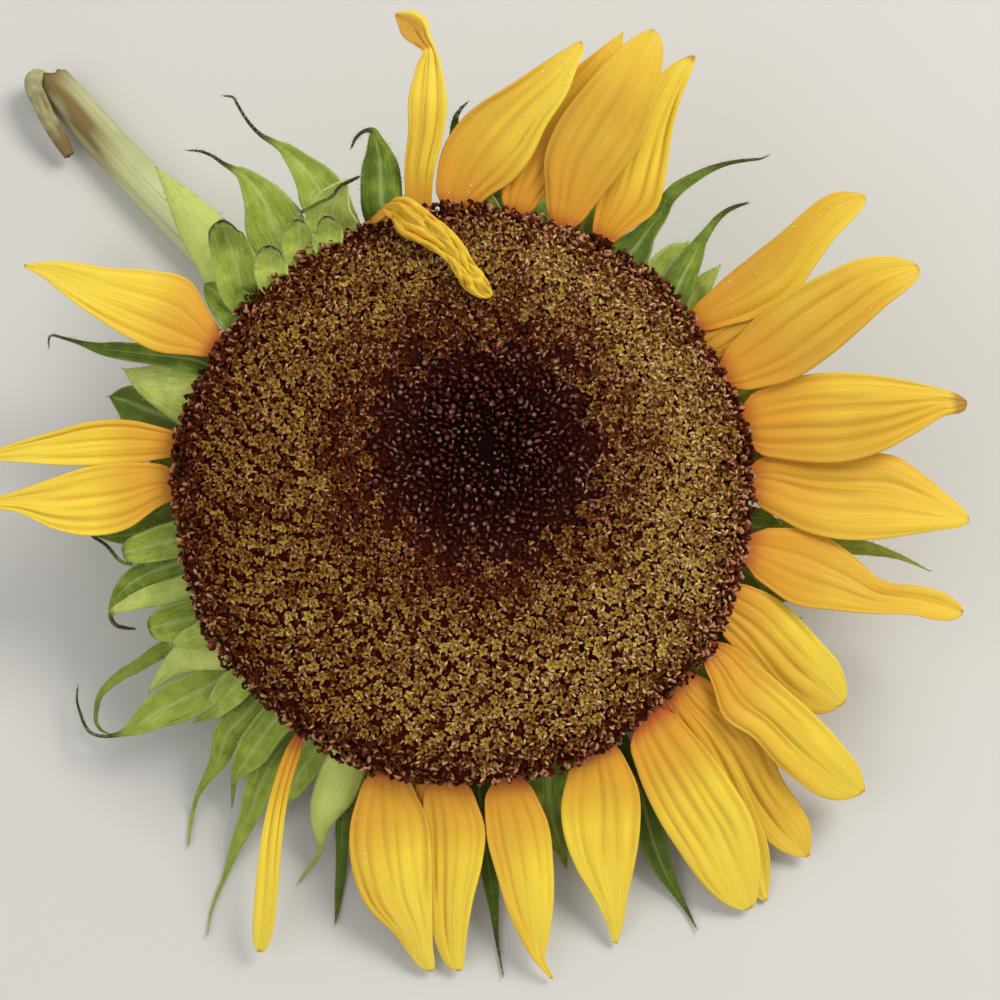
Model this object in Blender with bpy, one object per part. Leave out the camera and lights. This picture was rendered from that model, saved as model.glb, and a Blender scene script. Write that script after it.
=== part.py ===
"""A cut sunflower head that lies on its back, facing up, with its stem behind it.

The head is laid out in its own axes: u to the right, v up the disc and w out of the disc's
face, in millimetres from the middle of the disc. turn_to_table() leans the disc towards the
front and lifts it to where it rests, on its stem, its lower petals and its bent bracts.
"""

import math
import random

import bmesh
import bpy
from mathutils import Matrix, Vector
from mathutils.geometry import delaunay_2d_cdt

MM = 0.001
NARROWEST = 0.5  # half the width of a blade at its point
TINY_STEP = 0.01  # share of a blade's length over which its direction is read
CLEARANCE = 0.3  # gap that neighbouring pieces keep

# The head as it lies on the table
LEAN = math.radians(18.0)
DISC_HEIGHT = 58.0  # middle of the disc's face above the table
TABLE_CLEARANCE = 0.8  # middle of a blade that lies along the table
TABLE_EASE = 2.0  # how softly a drooping blade meets the table

# The disc and the florets that cover it
DISC_RADIUS = 75.0
DISC_DOME = 3.0
SPIRAL_CENTRE = Vector((6.0, 12.0))  # the spirals start beside the middle of the outline
FLORETS = 820
FLORET_RING = 72.5  # radius of the outermost whole florets
FLORET_RISE = 2.3
FLORET_SINK = 0.8
BUD_ZONE = 30.0  # radius of the closed buds in the middle
BUD_RISE = 1.2
HOLLOW_DEPTH = 3.2
HOLLOW_WIDTH = 17.0
EDGE_POINTS = 80
EDGE_SCALLOP = 0.9
EDGE_LEVEL = -2.6
EDGE_LIFT = 1.2  # valleys between the florets of the edge stand this much over it
EDGE_FALL = 3.4  # how far the face rolls down to its edge
DISC_UNDERSIDE = -6.2
DISC_BASE = -12.5
DISC_STEM_RADIUS = 59.7  # the disc narrows here, inside the ring of ovaries
DISC_LOWER_RINGS = [
    (DISC_RADIUS - 1.4, DISC_UNDERSIDE),
    (DISC_STEM_RADIUS, DISC_UNDERSIDE),
    (DISC_STEM_RADIUS, DISC_BASE),
]

# The ring of ovaries that holds the ray petals, under the disc's edge
RING_INNER = DISC_STEM_RADIUS + CLEARANCE
RING_OUTER = 70.5
RING_SEGMENTS = 64

# The green receptacle behind the disc, as radius and level, from its face to the stem
RECEPTACLE_SEGMENTS = 44
RECEPTACLE_PROFILE = [
    (0.0, -12.8),
    (69.0, -12.8),
    (72.5, -15.5),
    (71.0, -20.0),
    (62.0, -25.0),
    (44.0, -29.0),
    (24.0, -31.5),
    (13.5, -33.5),
    (11.0, -36.0),
    (0.0, -36.0),
]

# Ray petals
PETAL_THICKNESS = 0.8
PETAL_ROOT_RADIUS = 64.0
PETAL_BASE_RADIUS = 74.0
PETAL_LEVEL = -9.5
PETAL_LAYER = 0.9  # rise from one layer of petals to the next, at their roots
PETAL_PLEAT = 0.55
PETAL_TROUGH = 0.05  # depth of a petal's trough, as a share of its width
PETAL_LENGTH_STEPS = 8
PETAL_WIDTH_STEPS = 4

# azimuth, lean from the radius, reach past the disc, width, level of the tip, layer, arch
PETALS = [
    (92, -39, 55, 18, 1, 0, 3),
    (80, -21, 56, 16, -4, -1, 2),
    (70, -5, 56, 21, 4, 1, 4),
    (61, 3, 54, 17, -5, -1, 3),
    (37, -1, 56, 16, 3, 0, 3),
    (32, -2, 32, 12, -7, -1, 0),
    (24, 6, 58, 22, 2, 1, 4),
    (14, -8, 60, 22, -3, 0, 4),
    (3, -13, 60, 21, -7, 1, 4),
    (-10, -7, 62, 20, -12, 0, 5),
    (-21, -20, 44, 23, -22, 1, 8),
    (-32, -10, 60, 21, -22, 0, 9),
    (-39, -16, 62, 18, -25, -1, 5),
    (-49, -14, 62, 24, -22, 1, 9),
    (-45, -18, 64, 18, -25, -1, 4),
    (-60, -26, 56, 21, -20, 0, 8),
    (-81, 3, 57, 18, -17, 0, 8),
    (-93, 6, 53, 16, -17, 1, 8),
    (-97, 14, 46, 11, -18, -1, 4),
    (-106, 28, 57, 22, -17, 0, 8),
    (-109, 10, 46, 12, -19, -1, 4),
    (-125, 24, 60, 6, -15, 0, 9),
    (179, 5, 54, 19, -4, 0, 4),
    (169, 15, 55, 12, -6, 1, 2),
    (149, 8, 55, 16, 0, 0, 4),
]

# The wilted petal that has folded back over the disc: its middle line in u, v, w
WILTED_ROUTE = [
    Vector((-19.6, 61.0, -9.6)),
    Vector((-23.0, 73.0, -9.6)),
    Vector((-26.0, 81.5, -6.0)),
    Vector((-26.5, 82.0, 4.0)),
    Vector((-22.0, 77.0, 9.5)),
    Vector((-12.0, 71.0, 10.5)),
    Vector((-3.0, 63.0, 8.5)),
    Vector((8.5, 50.0, 7.0)),
]
WILTED_HEADINGS = (108.0, 102.0)
WILTED_WIDTH = 8.0
WILTED_STEPS = 14

# The petal beside it, whose tip has bent to the left
CURLED_ROUTE = [
    Vector((-9.5, 63.0, -9.5)),
    Vector((-11.0, 74.0, -9.3)),
    Vector((-8.5, 88.0, -5.5)),
    Vector((-6.5, 101.0, -2.0)),
    Vector((-8.5, 114.0, 0.0)),
    Vector((-18.0, 125.0, 2.0)),
]
CURLED_HEADINGS = (99.0, 104.0)
CURLED_WIDTH = 10.5
CURLED_STEPS = 10

# Bracts: three rows down the receptacle's flank, as radius and level of the root
BRACT_THICKNESS = 1.0
BRACT_CUP = 1.6
BRACT_LENGTH_STEPS = 6
BRACT_WIDTH_STEPS = 2
BRACT_ROOT_SINK = 7.0
BRACT_BASE_RADIUS = 74.0
BRACT_ARCH = 3.0
RISING_LEVEL = -3.0  # bracts whose tips are over this stand up beside the disc's edge
RISING_SAG = -7.0
RISING_SETOFF = 8.0
BRACT_ROWS = [(72.0, -16.5), (70.0, -20.0), (63.0, -24.0)]

# azimuth, lean from the radius, reach past the disc, width, level of the tip, row and the
# share of the blade that is drawn out to a tail
BRACTS = [
    (128, -1, 40, 16, -6, 1, 0.9),
    (115, 13, 47, 15, -4, 1, 1.0),
    (105, -6, 24, 13, 2, 1, 0.5),
    (136, -10, 20, 14, 2, 0, 0.0),
    (141, 0, 12, 11, -3, 0, 0.0),
    (129, -14, 9, 10, 3, 0, 0.0),
    (121, -12, 12, 11, 5, 0, 0.2),
    (158, 3, 42, 16, -10, 1, 0.8),
    (164, -6, 24, 15, -16, 2, 0.4),
    (-174, 5, 16, 14, -14, 1, 0.0),
    (-167, 2, 22, 14, -20, 0, 0.2),
    (-160, -2, 26, 15, -22, 1, 0.3),
    (-153, -3, 20, 14, -16, 0, 0.3),
    (-149, 4, 44, 13, -32, 2, 0.9),
    (-143, -4, 39, 18, -26, 1, 0.5),
    (-137, -8, 23, 14, -18, 0, 0.3),
    (-132, 8, 42, 15, -28, 2, 0.8),
    (-126, 1, 29, 14, -24, 1, 0.5),
    (-120, -1, 50, 14, -30, 2, 0.8),
    (-116, -3, 24, 13, -22, 0, 0.4),
    (-111, 4, 34, 15, -29, 2, 0.6),
    (-101, 2, 41, 8, -29, 2, 0.9),
    (-87, 3, 50, 8, -28, 2, 0.9),
    (-73, -5, 25, 15, -25, 1, 0.3),
    (-54, -14, 54, 9, -32, 2, 0.9),
    (-26, -9, 38, 10, -32, 2, 0.6),
    (-5, -9, 50, 8, -20, 2, 0.9),
    (57, -20, 44, 12, -8, 1, 0.9),
    (43, 12, 32, 13, -6, 1, 0.8),
    (52, -10, 17, 13, -8, 0, 0.1),
    (44, 1, 17, 13, -10, 0, 0.1),
    (88, 0, 29, 9, -12, 2, 0.8),
]

# Bent bracts under the petals, which hold the head up behind its weight:
# azimuth, azimuth and radius of the foot on the table, width
PROP_BRACTS = [
    (20, 27, 92, 14),
    (74, 68, 92, 13),
]
PROP_TAIL = 0.6
HIDDEN_BRACTS = [-66, -36, -16, 6, 31, 66, 98, 150]  # azimuths of the back row under the petals
HIDDEN_REACH = 20.0
HIDDEN_SPREAD = 3.0
HIDDEN_WIDTH = 14.0
HIDDEN_LEVEL = -27.0
HIDDEN_TAIL = 0.5
SEED = 7

# The stem: it leaves the middle of the receptacle's back, bends and lies along the table
STEM_SIDES = 14
STEM_FLUTE = 0.035
STEM_START = Vector((0.0, 0.0, -36.3))  # in the head's axes
STEM_ROUTE = [  # x and y on the table, radius
    (-17.0, 33.0, 8.6),
    (-34.0, 51.0, 7.9),
    (-56.0, 74.0, 7.2),
    (-80.0, 98.0, 6.4),
    (-104.0, 124.0, 5.8),
    (-124.0, 147.0, 5.6),
]
STEM_TOP_RADIUS = 9.6
STEM_DROP = 9.0  # how far the bend keeps the head's direction
STEM_RUN_IN = 12.0  # and how far it follows the table before it lies on it
STEM_BEND_STEPS = 6
STEM_LAY_STEPS = 9
STEM_PRESSED = 0.9  # depth of the flat where the stem lies on the table
STUB_RADIUS = 1.7
STUB_STEPS = 7
STUB_SIDES = 6
STUB_ROUTE = [  # torn strip of the stem's skin, bent back from the cut end, in x, y, z
    Vector((-122.0, 143.0, 8.5)),
    Vector((-130.0, 140.0, 9.5)),
    Vector((-129.0, 130.0, 8.5)),
    Vector((-120.0, 113.0, 5.0)),
]


def clear_scene():
    for item in list(bpy.data.objects):
        bpy.data.objects.remove(item, do_unlink=True)


def make_material(name, colour, roughness):
    material = bpy.data.materials.new(name)
    material.use_nodes = True
    shader = material.node_tree.nodes["Principled BSDF"]
    shader.inputs["Base Color"].default_value = (*colour, 1.0)
    shader.inputs["Roughness"].default_value = roughness
    shader.inputs["Metallic"].default_value = 0.0
    return material


def finish_object(name, mesh_builder, material):
    """Turns a bmesh in metres into a named, linked object."""
    mesh = bpy.data.meshes.new(name)
    mesh_builder.to_mesh(mesh)
    mesh_builder.free()
    mesh.materials.append(material)
    built = bpy.data.objects.new(name, mesh)
    bpy.context.scene.collection.objects.link(built)
    return built


def turn_to_table(point):
    """A point in the head's axes, as it lies on the table, still in millimetres."""
    return Matrix.Rotation(LEAN, 3, "X") @ point + Vector((0.0, 0.0, DISC_HEIGHT))


def keep_above_table(point):
    """Raises a point of a drooping blade so that the blade lies along the table."""
    height = turn_to_table(point).z - TABLE_CLEARANCE
    eased = 0.5 * (height + math.sqrt(height * height + TABLE_EASE))
    return point + Vector((0.0, 0.0, (eased - height) / math.cos(LEAN)))


def ease(low, high, value):
    part = min(1.0, max(0.0, (value - low) / (high - low)))
    return part * part * (3.0 - 2.0 * part)


def polar(azimuth, radius, level):
    angle = math.radians(azimuth)
    return Vector((radius * math.cos(angle), radius * math.sin(angle), level))


def bezier(corners, t):
    a, b, c, d = corners
    s = 1.0 - t
    return a * s**3 + b * 3 * s * s * t + c * 3 * s * t * t + d * t**3


def smooth_route(points, t):
    """A point of the Catmull-Rom curve through a list of points, t from 0 to 1."""
    place = min(t, 0.99999) * (len(points) - 1)
    index = int(place)
    f = place - index
    before = points[max(index - 1, 0)]
    start, end = points[index], points[index + 1]
    after = points[min(index + 2, len(points) - 1)]
    return 0.5 * (
        2 * start
        + (end - before) * f
        + (2 * before - 5 * start + 4 * end - after) * f * f
        + (3 * start - before - 3 * end + after) * f**3
    )


def petal_outline(t):
    """Share of the full width along a ray petal, from its narrow claw to its point."""
    claw = 0.36 + 0.64 * ease(0.02, 0.5, t)
    past_middle = max(0.0, (t - 0.5) / 0.5)
    return claw * (1.0 - past_middle**2.1) ** 0.85


def bract_outline(t, tail):
    """Share of the full width along a bract, broad at its foot and drawn out to a tail."""
    foot = 0.8 + 0.2 * ease(0.0, 0.3, t)
    narrowed = ease(0.5 - 0.2 * tail, 1.12 - 0.3 * tail, t)
    return foot * (1.0 - 0.9 * narrowed) * (1.0 - 0.5 * tail * ease(0.8, 1.0, t))


def make_blade(name, route, heading, outline, width, steps, shape, thickness, material):
    """A thin blade on a middle line. route, heading and shape are functions of t.

    heading gives the blade's compass direction in the disc's plane, and shape the height of
    its cross-section at t and at s, from -1 at one edge to 1 at the other.
    """
    blade = bmesh.new()
    bmesh.ops.create_grid(blade, x_segments=steps[0], y_segments=steps[1], size=0.5)
    bmesh.ops.triangulate(blade, faces=blade.faces, quad_method="FIXED")
    for vertex in blade.verts:
        t, s = vertex.co.x + 0.5, 2.0 * vertex.co.y
        middle = route(t)
        forward = (route(min(1.0, t + TINY_STEP)) - route(max(0.0, t - TINY_STEP))).normalized()
        angle = math.radians(heading(t))
        across = Vector((-math.sin(angle), math.cos(angle), 0.0))
        across = (across - across.dot(forward) * forward).normalized()
        up = forward.cross(across)
        half = max(0.5 * width * outline(t), NARROWEST)
        placed = middle + across * half * s + up * shape(t, s)
        vertex.co = turn_to_table(placed) * MM
    bmesh.ops.recalc_face_normals(blade, faces=blade.faces)
    built = finish_object(name, blade, material)
    solid = built.modifiers.new("Thickness", "SOLIDIFY")
    solid.thickness = thickness * MM
    solid.offset = 0.0
    return built


def blade_corners(azimuth, lean, reach, root, base_radius, tip_level, arch):
    """Bezier corners of a blade that leaves the rim along the radius and then leans."""
    base = polar(azimuth, base_radius, root.z)
    heading = polar(azimuth + lean, 1.0, 0.0)
    tip = base + heading * reach
    tip.z = tip_level
    out = root + polar(azimuth, 0.4 * (base_radius + reach - root.xy.length), 0.0)
    near_tip = tip - heading * 0.36 * reach + Vector((0.0, 0.0, arch))
    return [root, out, near_tip, tip]


def make_petal(index, row, material):
    azimuth, lean, reach, width, tip_level, layer, arch = row
    root = polar(azimuth, PETAL_ROOT_RADIUS, PETAL_LEVEL + layer * PETAL_LAYER)
    corners = blade_corners(azimuth, lean, reach, root, PETAL_BASE_RADIUS, tip_level, arch)

    def route(t):
        return keep_above_table(bezier(corners, t))

    def heading(t):
        return azimuth + lean * ease(0.1, 0.9, t)

    def shape(t, s):
        pleats = -math.cos(2.0 * math.pi * s) * PETAL_PLEAT
        fade = ease(0.12, 0.35, t) * (1.0 - ease(0.8, 1.0, t))
        trough = PETAL_TROUGH * width * s * s
        return (pleats + trough) * fade

    steps = (PETAL_LENGTH_STEPS, PETAL_WIDTH_STEPS)
    name = f"petal_{index}"
    return make_blade(name, route, heading, petal_outline, width, steps, shape, PETAL_THICKNESS, material)


def make_bent_petal(name, points, headings, width, length_steps, material):
    """A petal on a route of its own, which has wilted and folded."""

    def route(t):
        return smooth_route(points, t)

    def heading(t):
        return headings[0] + (headings[1] - headings[0]) * t

    def outline(t):
        return 0.5 + 0.5 * ease(0.1, 0.5, t) - 0.7 * ease(0.7, 1.0, t)

    def shape(t, s):
        return -math.cos(2.0 * math.pi * s) * 0.4 * ease(0.3, 0.6, t) * (1.0 - ease(0.9, 1.0, t))

    steps = (length_steps, PETAL_WIDTH_STEPS)
    return make_blade(name, route, heading, outline, width, steps, shape, PETAL_THICKNESS, material)


def make_bract(name, azimuth, lean, reach, width, tip_level, row, tail, material):
    root_radius, root_level = BRACT_ROWS[row]
    root = polar(azimuth, root_radius - BRACT_ROOT_SINK, root_level)
    rising = tip_level > RISING_LEVEL
    arch = RISING_SAG if rising else BRACT_ARCH
    corners = blade_corners(azimuth, lean, reach, root, BRACT_BASE_RADIUS, tip_level, arch)
    if rising:
        corners[1] = polar(azimuth, BRACT_BASE_RADIUS + RISING_SETOFF, root.z)

    def route(t):
        return keep_above_table(bezier(corners, t))

    return make_bract_on(name, route, azimuth, lean, width, tail, material)


def make_bract_on(name, route, azimuth, lean, width, tail, material):
    def heading(t):
        return azimuth + lean * ease(0.1, 0.9, t)

    def outline(t):
        return bract_outline(t, tail)

    def shape(t, s):
        return BRACT_CUP * s * s * ease(0.1, 0.3, t) * (1.0 - ease(0.5, 0.85, t))

    steps = (BRACT_LENGTH_STEPS, BRACT_WIDTH_STEPS)
    return make_blade(name, route, heading, outline, width, steps, shape, BRACT_THICKNESS, material)


def make_prop_bract(name, azimuth, foot_azimuth, foot_radius, width, material):
    """A bract bent down from the back row until its tip stands on the table."""
    root_radius, root_level = BRACT_ROWS[2]
    root = polar(azimuth, root_radius - BRACT_ROOT_SINK, root_level)
    foot = polar(foot_azimuth, foot_radius, 0.0)
    foot.z -= (turn_to_table(foot).z - 0.5 * BRACT_THICKNESS) / math.cos(LEAN)
    out = polar(azimuth, foot_radius, root_level)
    above_foot = foot + Vector((0.0, 0.0, 0.45 * (root_level - foot.z)))
    corners = [root, out, above_foot, foot]

    def route(t):
        return bezier(corners, t)

    turn = foot_azimuth - azimuth
    return make_bract_on(name, route, azimuth, turn, width, PROP_TAIL, material)


def join_to(core, pieces):
    """Fuses the pieces and their core into the core's own mesh."""
    group = bpy.data.collections.new(core.name + "_pieces")
    bpy.context.scene.collection.children.link(group)
    for piece in pieces:
        bpy.context.scene.collection.objects.unlink(piece)
        group.objects.link(piece)
    union = core.modifiers.new("Grown together", "BOOLEAN")
    union.operation = "UNION"
    union.operand_type = "COLLECTION"
    union.collection = group
    union.solver = "EXACT"
    bpy.context.view_layer.update()
    evaluated = core.evaluated_get(bpy.context.evaluated_depsgraph_get())
    fused = bpy.data.meshes.new_from_object(evaluated)
    core.modifiers.clear()
    core.data = fused
    for piece in pieces:
        bpy.data.objects.remove(piece, do_unlink=True)
    bpy.data.collections.remove(group)
    tidy = bmesh.new()
    tidy.from_mesh(fused)
    bmesh.ops.triangulate(tidy, faces=tidy.faces)
    tidy.to_mesh(fused)
    tidy.free()
    return core


def turned(profile, segments):
    """A bmesh turned about the disc's axis from points of radius and level."""
    body = bmesh.new()
    points = [body.verts.new((radius, 0.0, level)) for radius, level in profile]
    pairs = list(zip(points, points[1:]))
    if profile[0][0] > 0.0:
        pairs.append((points[-1], points[0]))
    edges = [body.edges.new(pair) for pair in pairs]
    bmesh.ops.spin(
        body,
        geom=points + edges,
        cent=(0.0, 0.0, 0.0),
        axis=(0.0, 0.0, 1.0),
        angle=2.0 * math.pi,
        steps=segments,
        use_merge=True,
    )
    bmesh.ops.remove_doubles(body, verts=body.verts, dist=0.001)
    bmesh.ops.recalc_face_normals(body, faces=body.faces)
    for vertex in body.verts:
        vertex.co = turn_to_table(vertex.co) * MM
    return body


def disc_level(place):
    """Level of the disc's face, without its florets, at a place in the disc's plane."""
    share = place.length / DISC_RADIUS
    dome = DISC_DOME * (1.0 - share * share) - EDGE_FALL * ease(0.86, 1.0, share)
    from_centre = (place - SPIRAL_CENTRE).length
    return dome - HOLLOW_DEPTH * math.exp(-((from_centre / HOLLOW_WIDTH) ** 2))


def floret_places():
    """The florets' places, on spirals that open from the spiral centre to the round edge."""
    golden = math.pi * (3.0 - math.sqrt(5.0))
    places = []
    for index in range(FLORETS):
        share = math.sqrt((index + 0.5) / FLORETS)
        around = Vector((math.cos(golden * index), math.sin(golden * index)))
        places.append(around * FLORET_RING * share + SPIRAL_CENTRE * (1.0 - share * share))
    return places


def make_disc(material):
    places = floret_places()
    edge = []
    for index in range(EDGE_POINTS):
        angle = 2.0 * math.pi * index / EDGE_POINTS
        edge.append(Vector((math.cos(angle), math.sin(angle))) * DISC_RADIUS)
    tips = places + edge
    triangles = delaunay_2d_cdt(tips, [], [], 0, 0.001)[2]
    disc = bmesh.new()
    points = []
    for index, place in enumerate(tips):
        if index < FLORETS:
            closed = 1.0 - ease(0.8, 1.15, (place - SPIRAL_CENTRE).length / BUD_ZONE)
            rise = FLORET_RISE + (BUD_RISE - FLORET_RISE) * closed
            level = disc_level(place) + rise
        else:
            level = EDGE_LEVEL
            place = place * (1.0 + (index % 2) * EDGE_SCALLOP / DISC_RADIUS)
        points.append(disc.verts.new((place.x, place.y, level)))
    valleys = []
    beside = {}
    for number, triangle in enumerate(triangles):
        middle = sum((tips[corner] for corner in triangle), Vector((0.0, 0.0))) / 3.0
        on_edge = sum(corner >= FLORETS for corner in triangle) / 3.0
        level = disc_level(middle) - FLORET_SINK
        level += (EDGE_LEVEL + EDGE_LIFT - level) * on_edge
        valleys.append(disc.verts.new((middle.x, middle.y, level)))
        for start, end in zip(triangle, triangle[1:] + triangle[:1]):
            beside.setdefault(frozenset((start, end)), []).append(number)
    for pair, sides in beside.items():
        start, end = pair
        if len(sides) == 2:
            first, second = valleys[sides[0]], valleys[sides[1]]
            disc.faces.new((points[start], first, second))
            disc.faces.new((points[end], second, first))
        else:
            disc.faces.new((points[start], points[end], valleys[sides[0]]))
    rim = points[FLORETS:]
    for radius, level in DISC_LOWER_RINGS:
        ring = []
        for index in range(EDGE_POINTS):
            angle = 2.0 * math.pi * index / EDGE_POINTS
            ring.append(disc.verts.new((radius * math.cos(angle), radius * math.sin(angle), level)))
        for index in range(EDGE_POINTS):
            after = (index + 1) % EDGE_POINTS
            disc.faces.new((rim[index], rim[after], ring[after], ring[index]))
        rim = ring
    disc.faces.new(rim)
    bmesh.ops.recalc_face_normals(disc, faces=disc.faces)
    for vertex in disc.verts:
        vertex.co = turn_to_table(vertex.co) * MM
    return finish_object("disc_florets", disc, material)


def make_ray_petals(material):
    lower, upper = DISC_BASE, DISC_UNDERSIDE - CLEARANCE
    profile = [(RING_INNER, lower), (RING_OUTER, lower), (RING_OUTER, upper), (RING_INNER, upper)]
    ring = finish_object("ray_petals", turned(profile, RING_SEGMENTS), material)
    petals = [make_petal(index, row, material) for index, row in enumerate(PETALS)]
    wilted = (WILTED_ROUTE, WILTED_HEADINGS, WILTED_WIDTH, WILTED_STEPS)
    curled = (CURLED_ROUTE, CURLED_HEADINGS, CURLED_WIDTH, CURLED_STEPS)
    petals.append(make_bent_petal("petal_wilted", *wilted, material))
    petals.append(make_bent_petal("petal_curled", *curled, material))
    return join_to(ring, petals)


def make_receptacle_bracts(material):
    draw = random.Random(SEED)
    body = turned(RECEPTACLE_PROFILE, RECEPTACLE_SEGMENTS)
    core = finish_object("receptacle_bracts", body, material)
    bracts = []
    for index, row in enumerate(BRACTS):
        bracts.append(make_bract(f"bract_{index}", *row, material))
    for azimuth in HIDDEN_BRACTS:
        lean = draw.uniform(-8.0, 8.0)
        reach = HIDDEN_REACH + draw.uniform(-HIDDEN_SPREAD, HIDDEN_SPREAD)
        name = f"back_bract_{azimuth}"
        row = (azimuth, lean, reach, HIDDEN_WIDTH, HIDDEN_LEVEL, 2, HIDDEN_TAIL)
        bracts.append(make_bract(name, *row, material))
    for azimuth, foot_azimuth, foot_radius, width in PROP_BRACTS:
        name = f"prop_bract_{azimuth}"
        bracts.append(make_prop_bract(name, azimuth, foot_azimuth, foot_radius, width, material))
    return join_to(core, bracts)


def stem_stations():
    """Centres, directions and radii along the stem, in millimetres over the table."""
    start = turn_to_table(STEM_START)
    leave = Matrix.Rotation(LEAN, 3, "X") @ Vector((0.0, 0.0, -1.0))
    laid = [Vector((x, y, radius - STEM_PRESSED)) for x, y, radius in STEM_ROUTE]
    radii = [radius for x, y, radius in STEM_ROUTE]
    along = (laid[1] - laid[0]).normalized()
    bend = [start, start + leave * STEM_DROP, laid[0] - along * STEM_RUN_IN, laid[0]]
    stations = []
    for step in range(STEM_BEND_STEPS):
        t = step / STEM_BEND_STEPS
        radius = STEM_TOP_RADIUS + (radii[0] - STEM_TOP_RADIUS) * t
        stations.append((bezier(bend, t), radius))
    for step in range(STEM_LAY_STEPS + 1):
        t = step / STEM_LAY_STEPS
        place = t * (len(radii) - 1)
        index = min(int(place), len(radii) - 2)
        radius = radii[index] + (radii[index + 1] - radii[index]) * (place - index)
        centre = smooth_route(laid, t)
        centre.z = radius - STEM_PRESSED
        stations.append((centre, radius))
    return stations


def tube(stations, sides, flute, flatten):
    """A bmesh tube through stations of centre and radius, with closed ends."""
    body = bmesh.new()
    rings = []
    side_before = Vector((1.0, 0.0, 0.0))
    for index, (centre, radius) in enumerate(stations):
        before = stations[max(index - 1, 0)][0]
        after = stations[min(index + 1, len(stations) - 1)][0]
        forward = (after - before).normalized()
        if index == 0:
            forward = (Matrix.Rotation(LEAN, 3, "X") @ Vector((0.0, 0.0, -1.0))) if flatten else forward
        side = (side_before - side_before.dot(forward) * forward).normalized()
        side_before = side
        up = forward.cross(side)
        ring = []
        for number in range(sides):
            angle = 2.0 * math.pi * (number + 0.5) / sides
            reach = radius * (1.0 + (flute if number % 2 else -flute))
            point = centre + (side * math.cos(angle) + up * math.sin(angle)) * reach
            if flatten:
                point.z = max(point.z, 0.0)
            ring.append(body.verts.new(point * MM))
        rings.append(ring)
    for first, second in zip(rings, rings[1:]):
        for number in range(sides):
            after = (number + 1) % sides
            body.faces.new((first[number], first[after], second[after], second[number]))
    body.faces.new(rings[0])
    body.faces.new(rings[-1])
    bmesh.ops.recalc_face_normals(body, faces=body.faces)
    return body


def make_stem(material):
    stem = finish_object("stem", tube(stem_stations(), STEM_SIDES, STEM_FLUTE, True), material)
    points = []
    for step in range(STUB_STEPS + 1):
        points.append((smooth_route(STUB_ROUTE, step / STUB_STEPS), STUB_RADIUS))
    strip = finish_object("stem_strip", tube(points, STUB_SIDES, 0.0, False), material)
    return join_to(stem, [strip])


def centre_on_base(nodes):
    """Moves the nodes so that the middle of their common box is over the origin."""
    corners = [node.matrix_world @ vertex.co for node in nodes for vertex in node.data.vertices]
    middle_x = 0.5 * (min(c.x for c in corners) + max(c.x for c in corners))
    middle_y = 0.5 * (min(c.y for c in corners) + max(c.y for c in corners))
    lowest = min(c.z for c in corners)
    for node in nodes:
        node.location = (-middle_x, -middle_y, -lowest)


def main():
    clear_scene()
    disc_brown = make_material("disc_brown", (0.16, 0.09, 0.03), 0.85)
    petal_yellow = make_material("petal_yellow", (0.92, 0.60, 0.04), 0.55)
    leaf_green = make_material("leaf_green", (0.22, 0.42, 0.10), 0.60)
    stem_green = make_material("stem_green", (0.45, 0.52, 0.16), 0.60)
    nodes = [
        make_disc(disc_brown),
        make_ray_petals(petal_yellow),
        make_receptacle_bracts(leaf_green),
        make_stem(stem_green),
    ]
    centre_on_base(nodes)
    bpy.context.view_layer.update()


main()
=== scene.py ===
import math
import random

import bmesh
import bpy
from mathutils import Matrix, Vector, noise


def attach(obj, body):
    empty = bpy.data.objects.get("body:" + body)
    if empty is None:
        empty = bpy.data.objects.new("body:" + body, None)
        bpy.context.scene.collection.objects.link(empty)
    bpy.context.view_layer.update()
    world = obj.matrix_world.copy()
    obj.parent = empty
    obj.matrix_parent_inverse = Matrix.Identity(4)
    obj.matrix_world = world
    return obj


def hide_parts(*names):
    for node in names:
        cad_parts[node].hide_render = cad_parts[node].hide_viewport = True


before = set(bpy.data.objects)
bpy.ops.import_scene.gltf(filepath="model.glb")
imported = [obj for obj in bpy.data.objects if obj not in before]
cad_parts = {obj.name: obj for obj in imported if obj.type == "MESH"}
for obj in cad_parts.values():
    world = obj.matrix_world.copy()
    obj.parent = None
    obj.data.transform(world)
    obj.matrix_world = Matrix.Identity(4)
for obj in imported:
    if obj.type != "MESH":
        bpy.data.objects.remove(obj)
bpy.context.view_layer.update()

# the head's own axes: x right, y up the disc, z out of its face, in millimetres
head = {
    "centre": Vector((-0.449, -16.445, 58.0)),  # middle of the disc's face
    "lean": math.radians(18.0),
    "discRadius": 75.0,
    "tableGap": 0.8,
    "tableEase": 2.0,
    "lowest": 0.45,  # height above the table below which no blade goes
}
millimetre = 0.001
view = {
    "aim": Vector((9.6, -1.3, 0.0)),  # where the camera looks, in the head's axes
    "distance": 650.0,
    "lens": 90.0,
}
headTurn = Matrix.Rotation(head["lean"], 3, "X")
headMatrix = Matrix.Scale(millimetre, 4) @ Matrix.Translation(head["centre"]) @ headTurn.to_4x4()


def smoothstep(low, high, value):
    part = min(1.0, max(0.0, (value - low) / (high - low)))
    return part * part * (3.0 - 2.0 * part)


def mixed(a, b, share):
    return a + (b - a) * share


def polarPoint(azimuth, radius, level):
    angle = math.radians(azimuth)
    return Vector((radius * math.cos(angle), radius * math.sin(angle), level))


def bezierPoint(corners, t):
    a, b, c, d = corners
    s = 1.0 - t
    return a * s**3 + b * 3 * s * s * t + c * 3 * s * t * t + d * t**3


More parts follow.
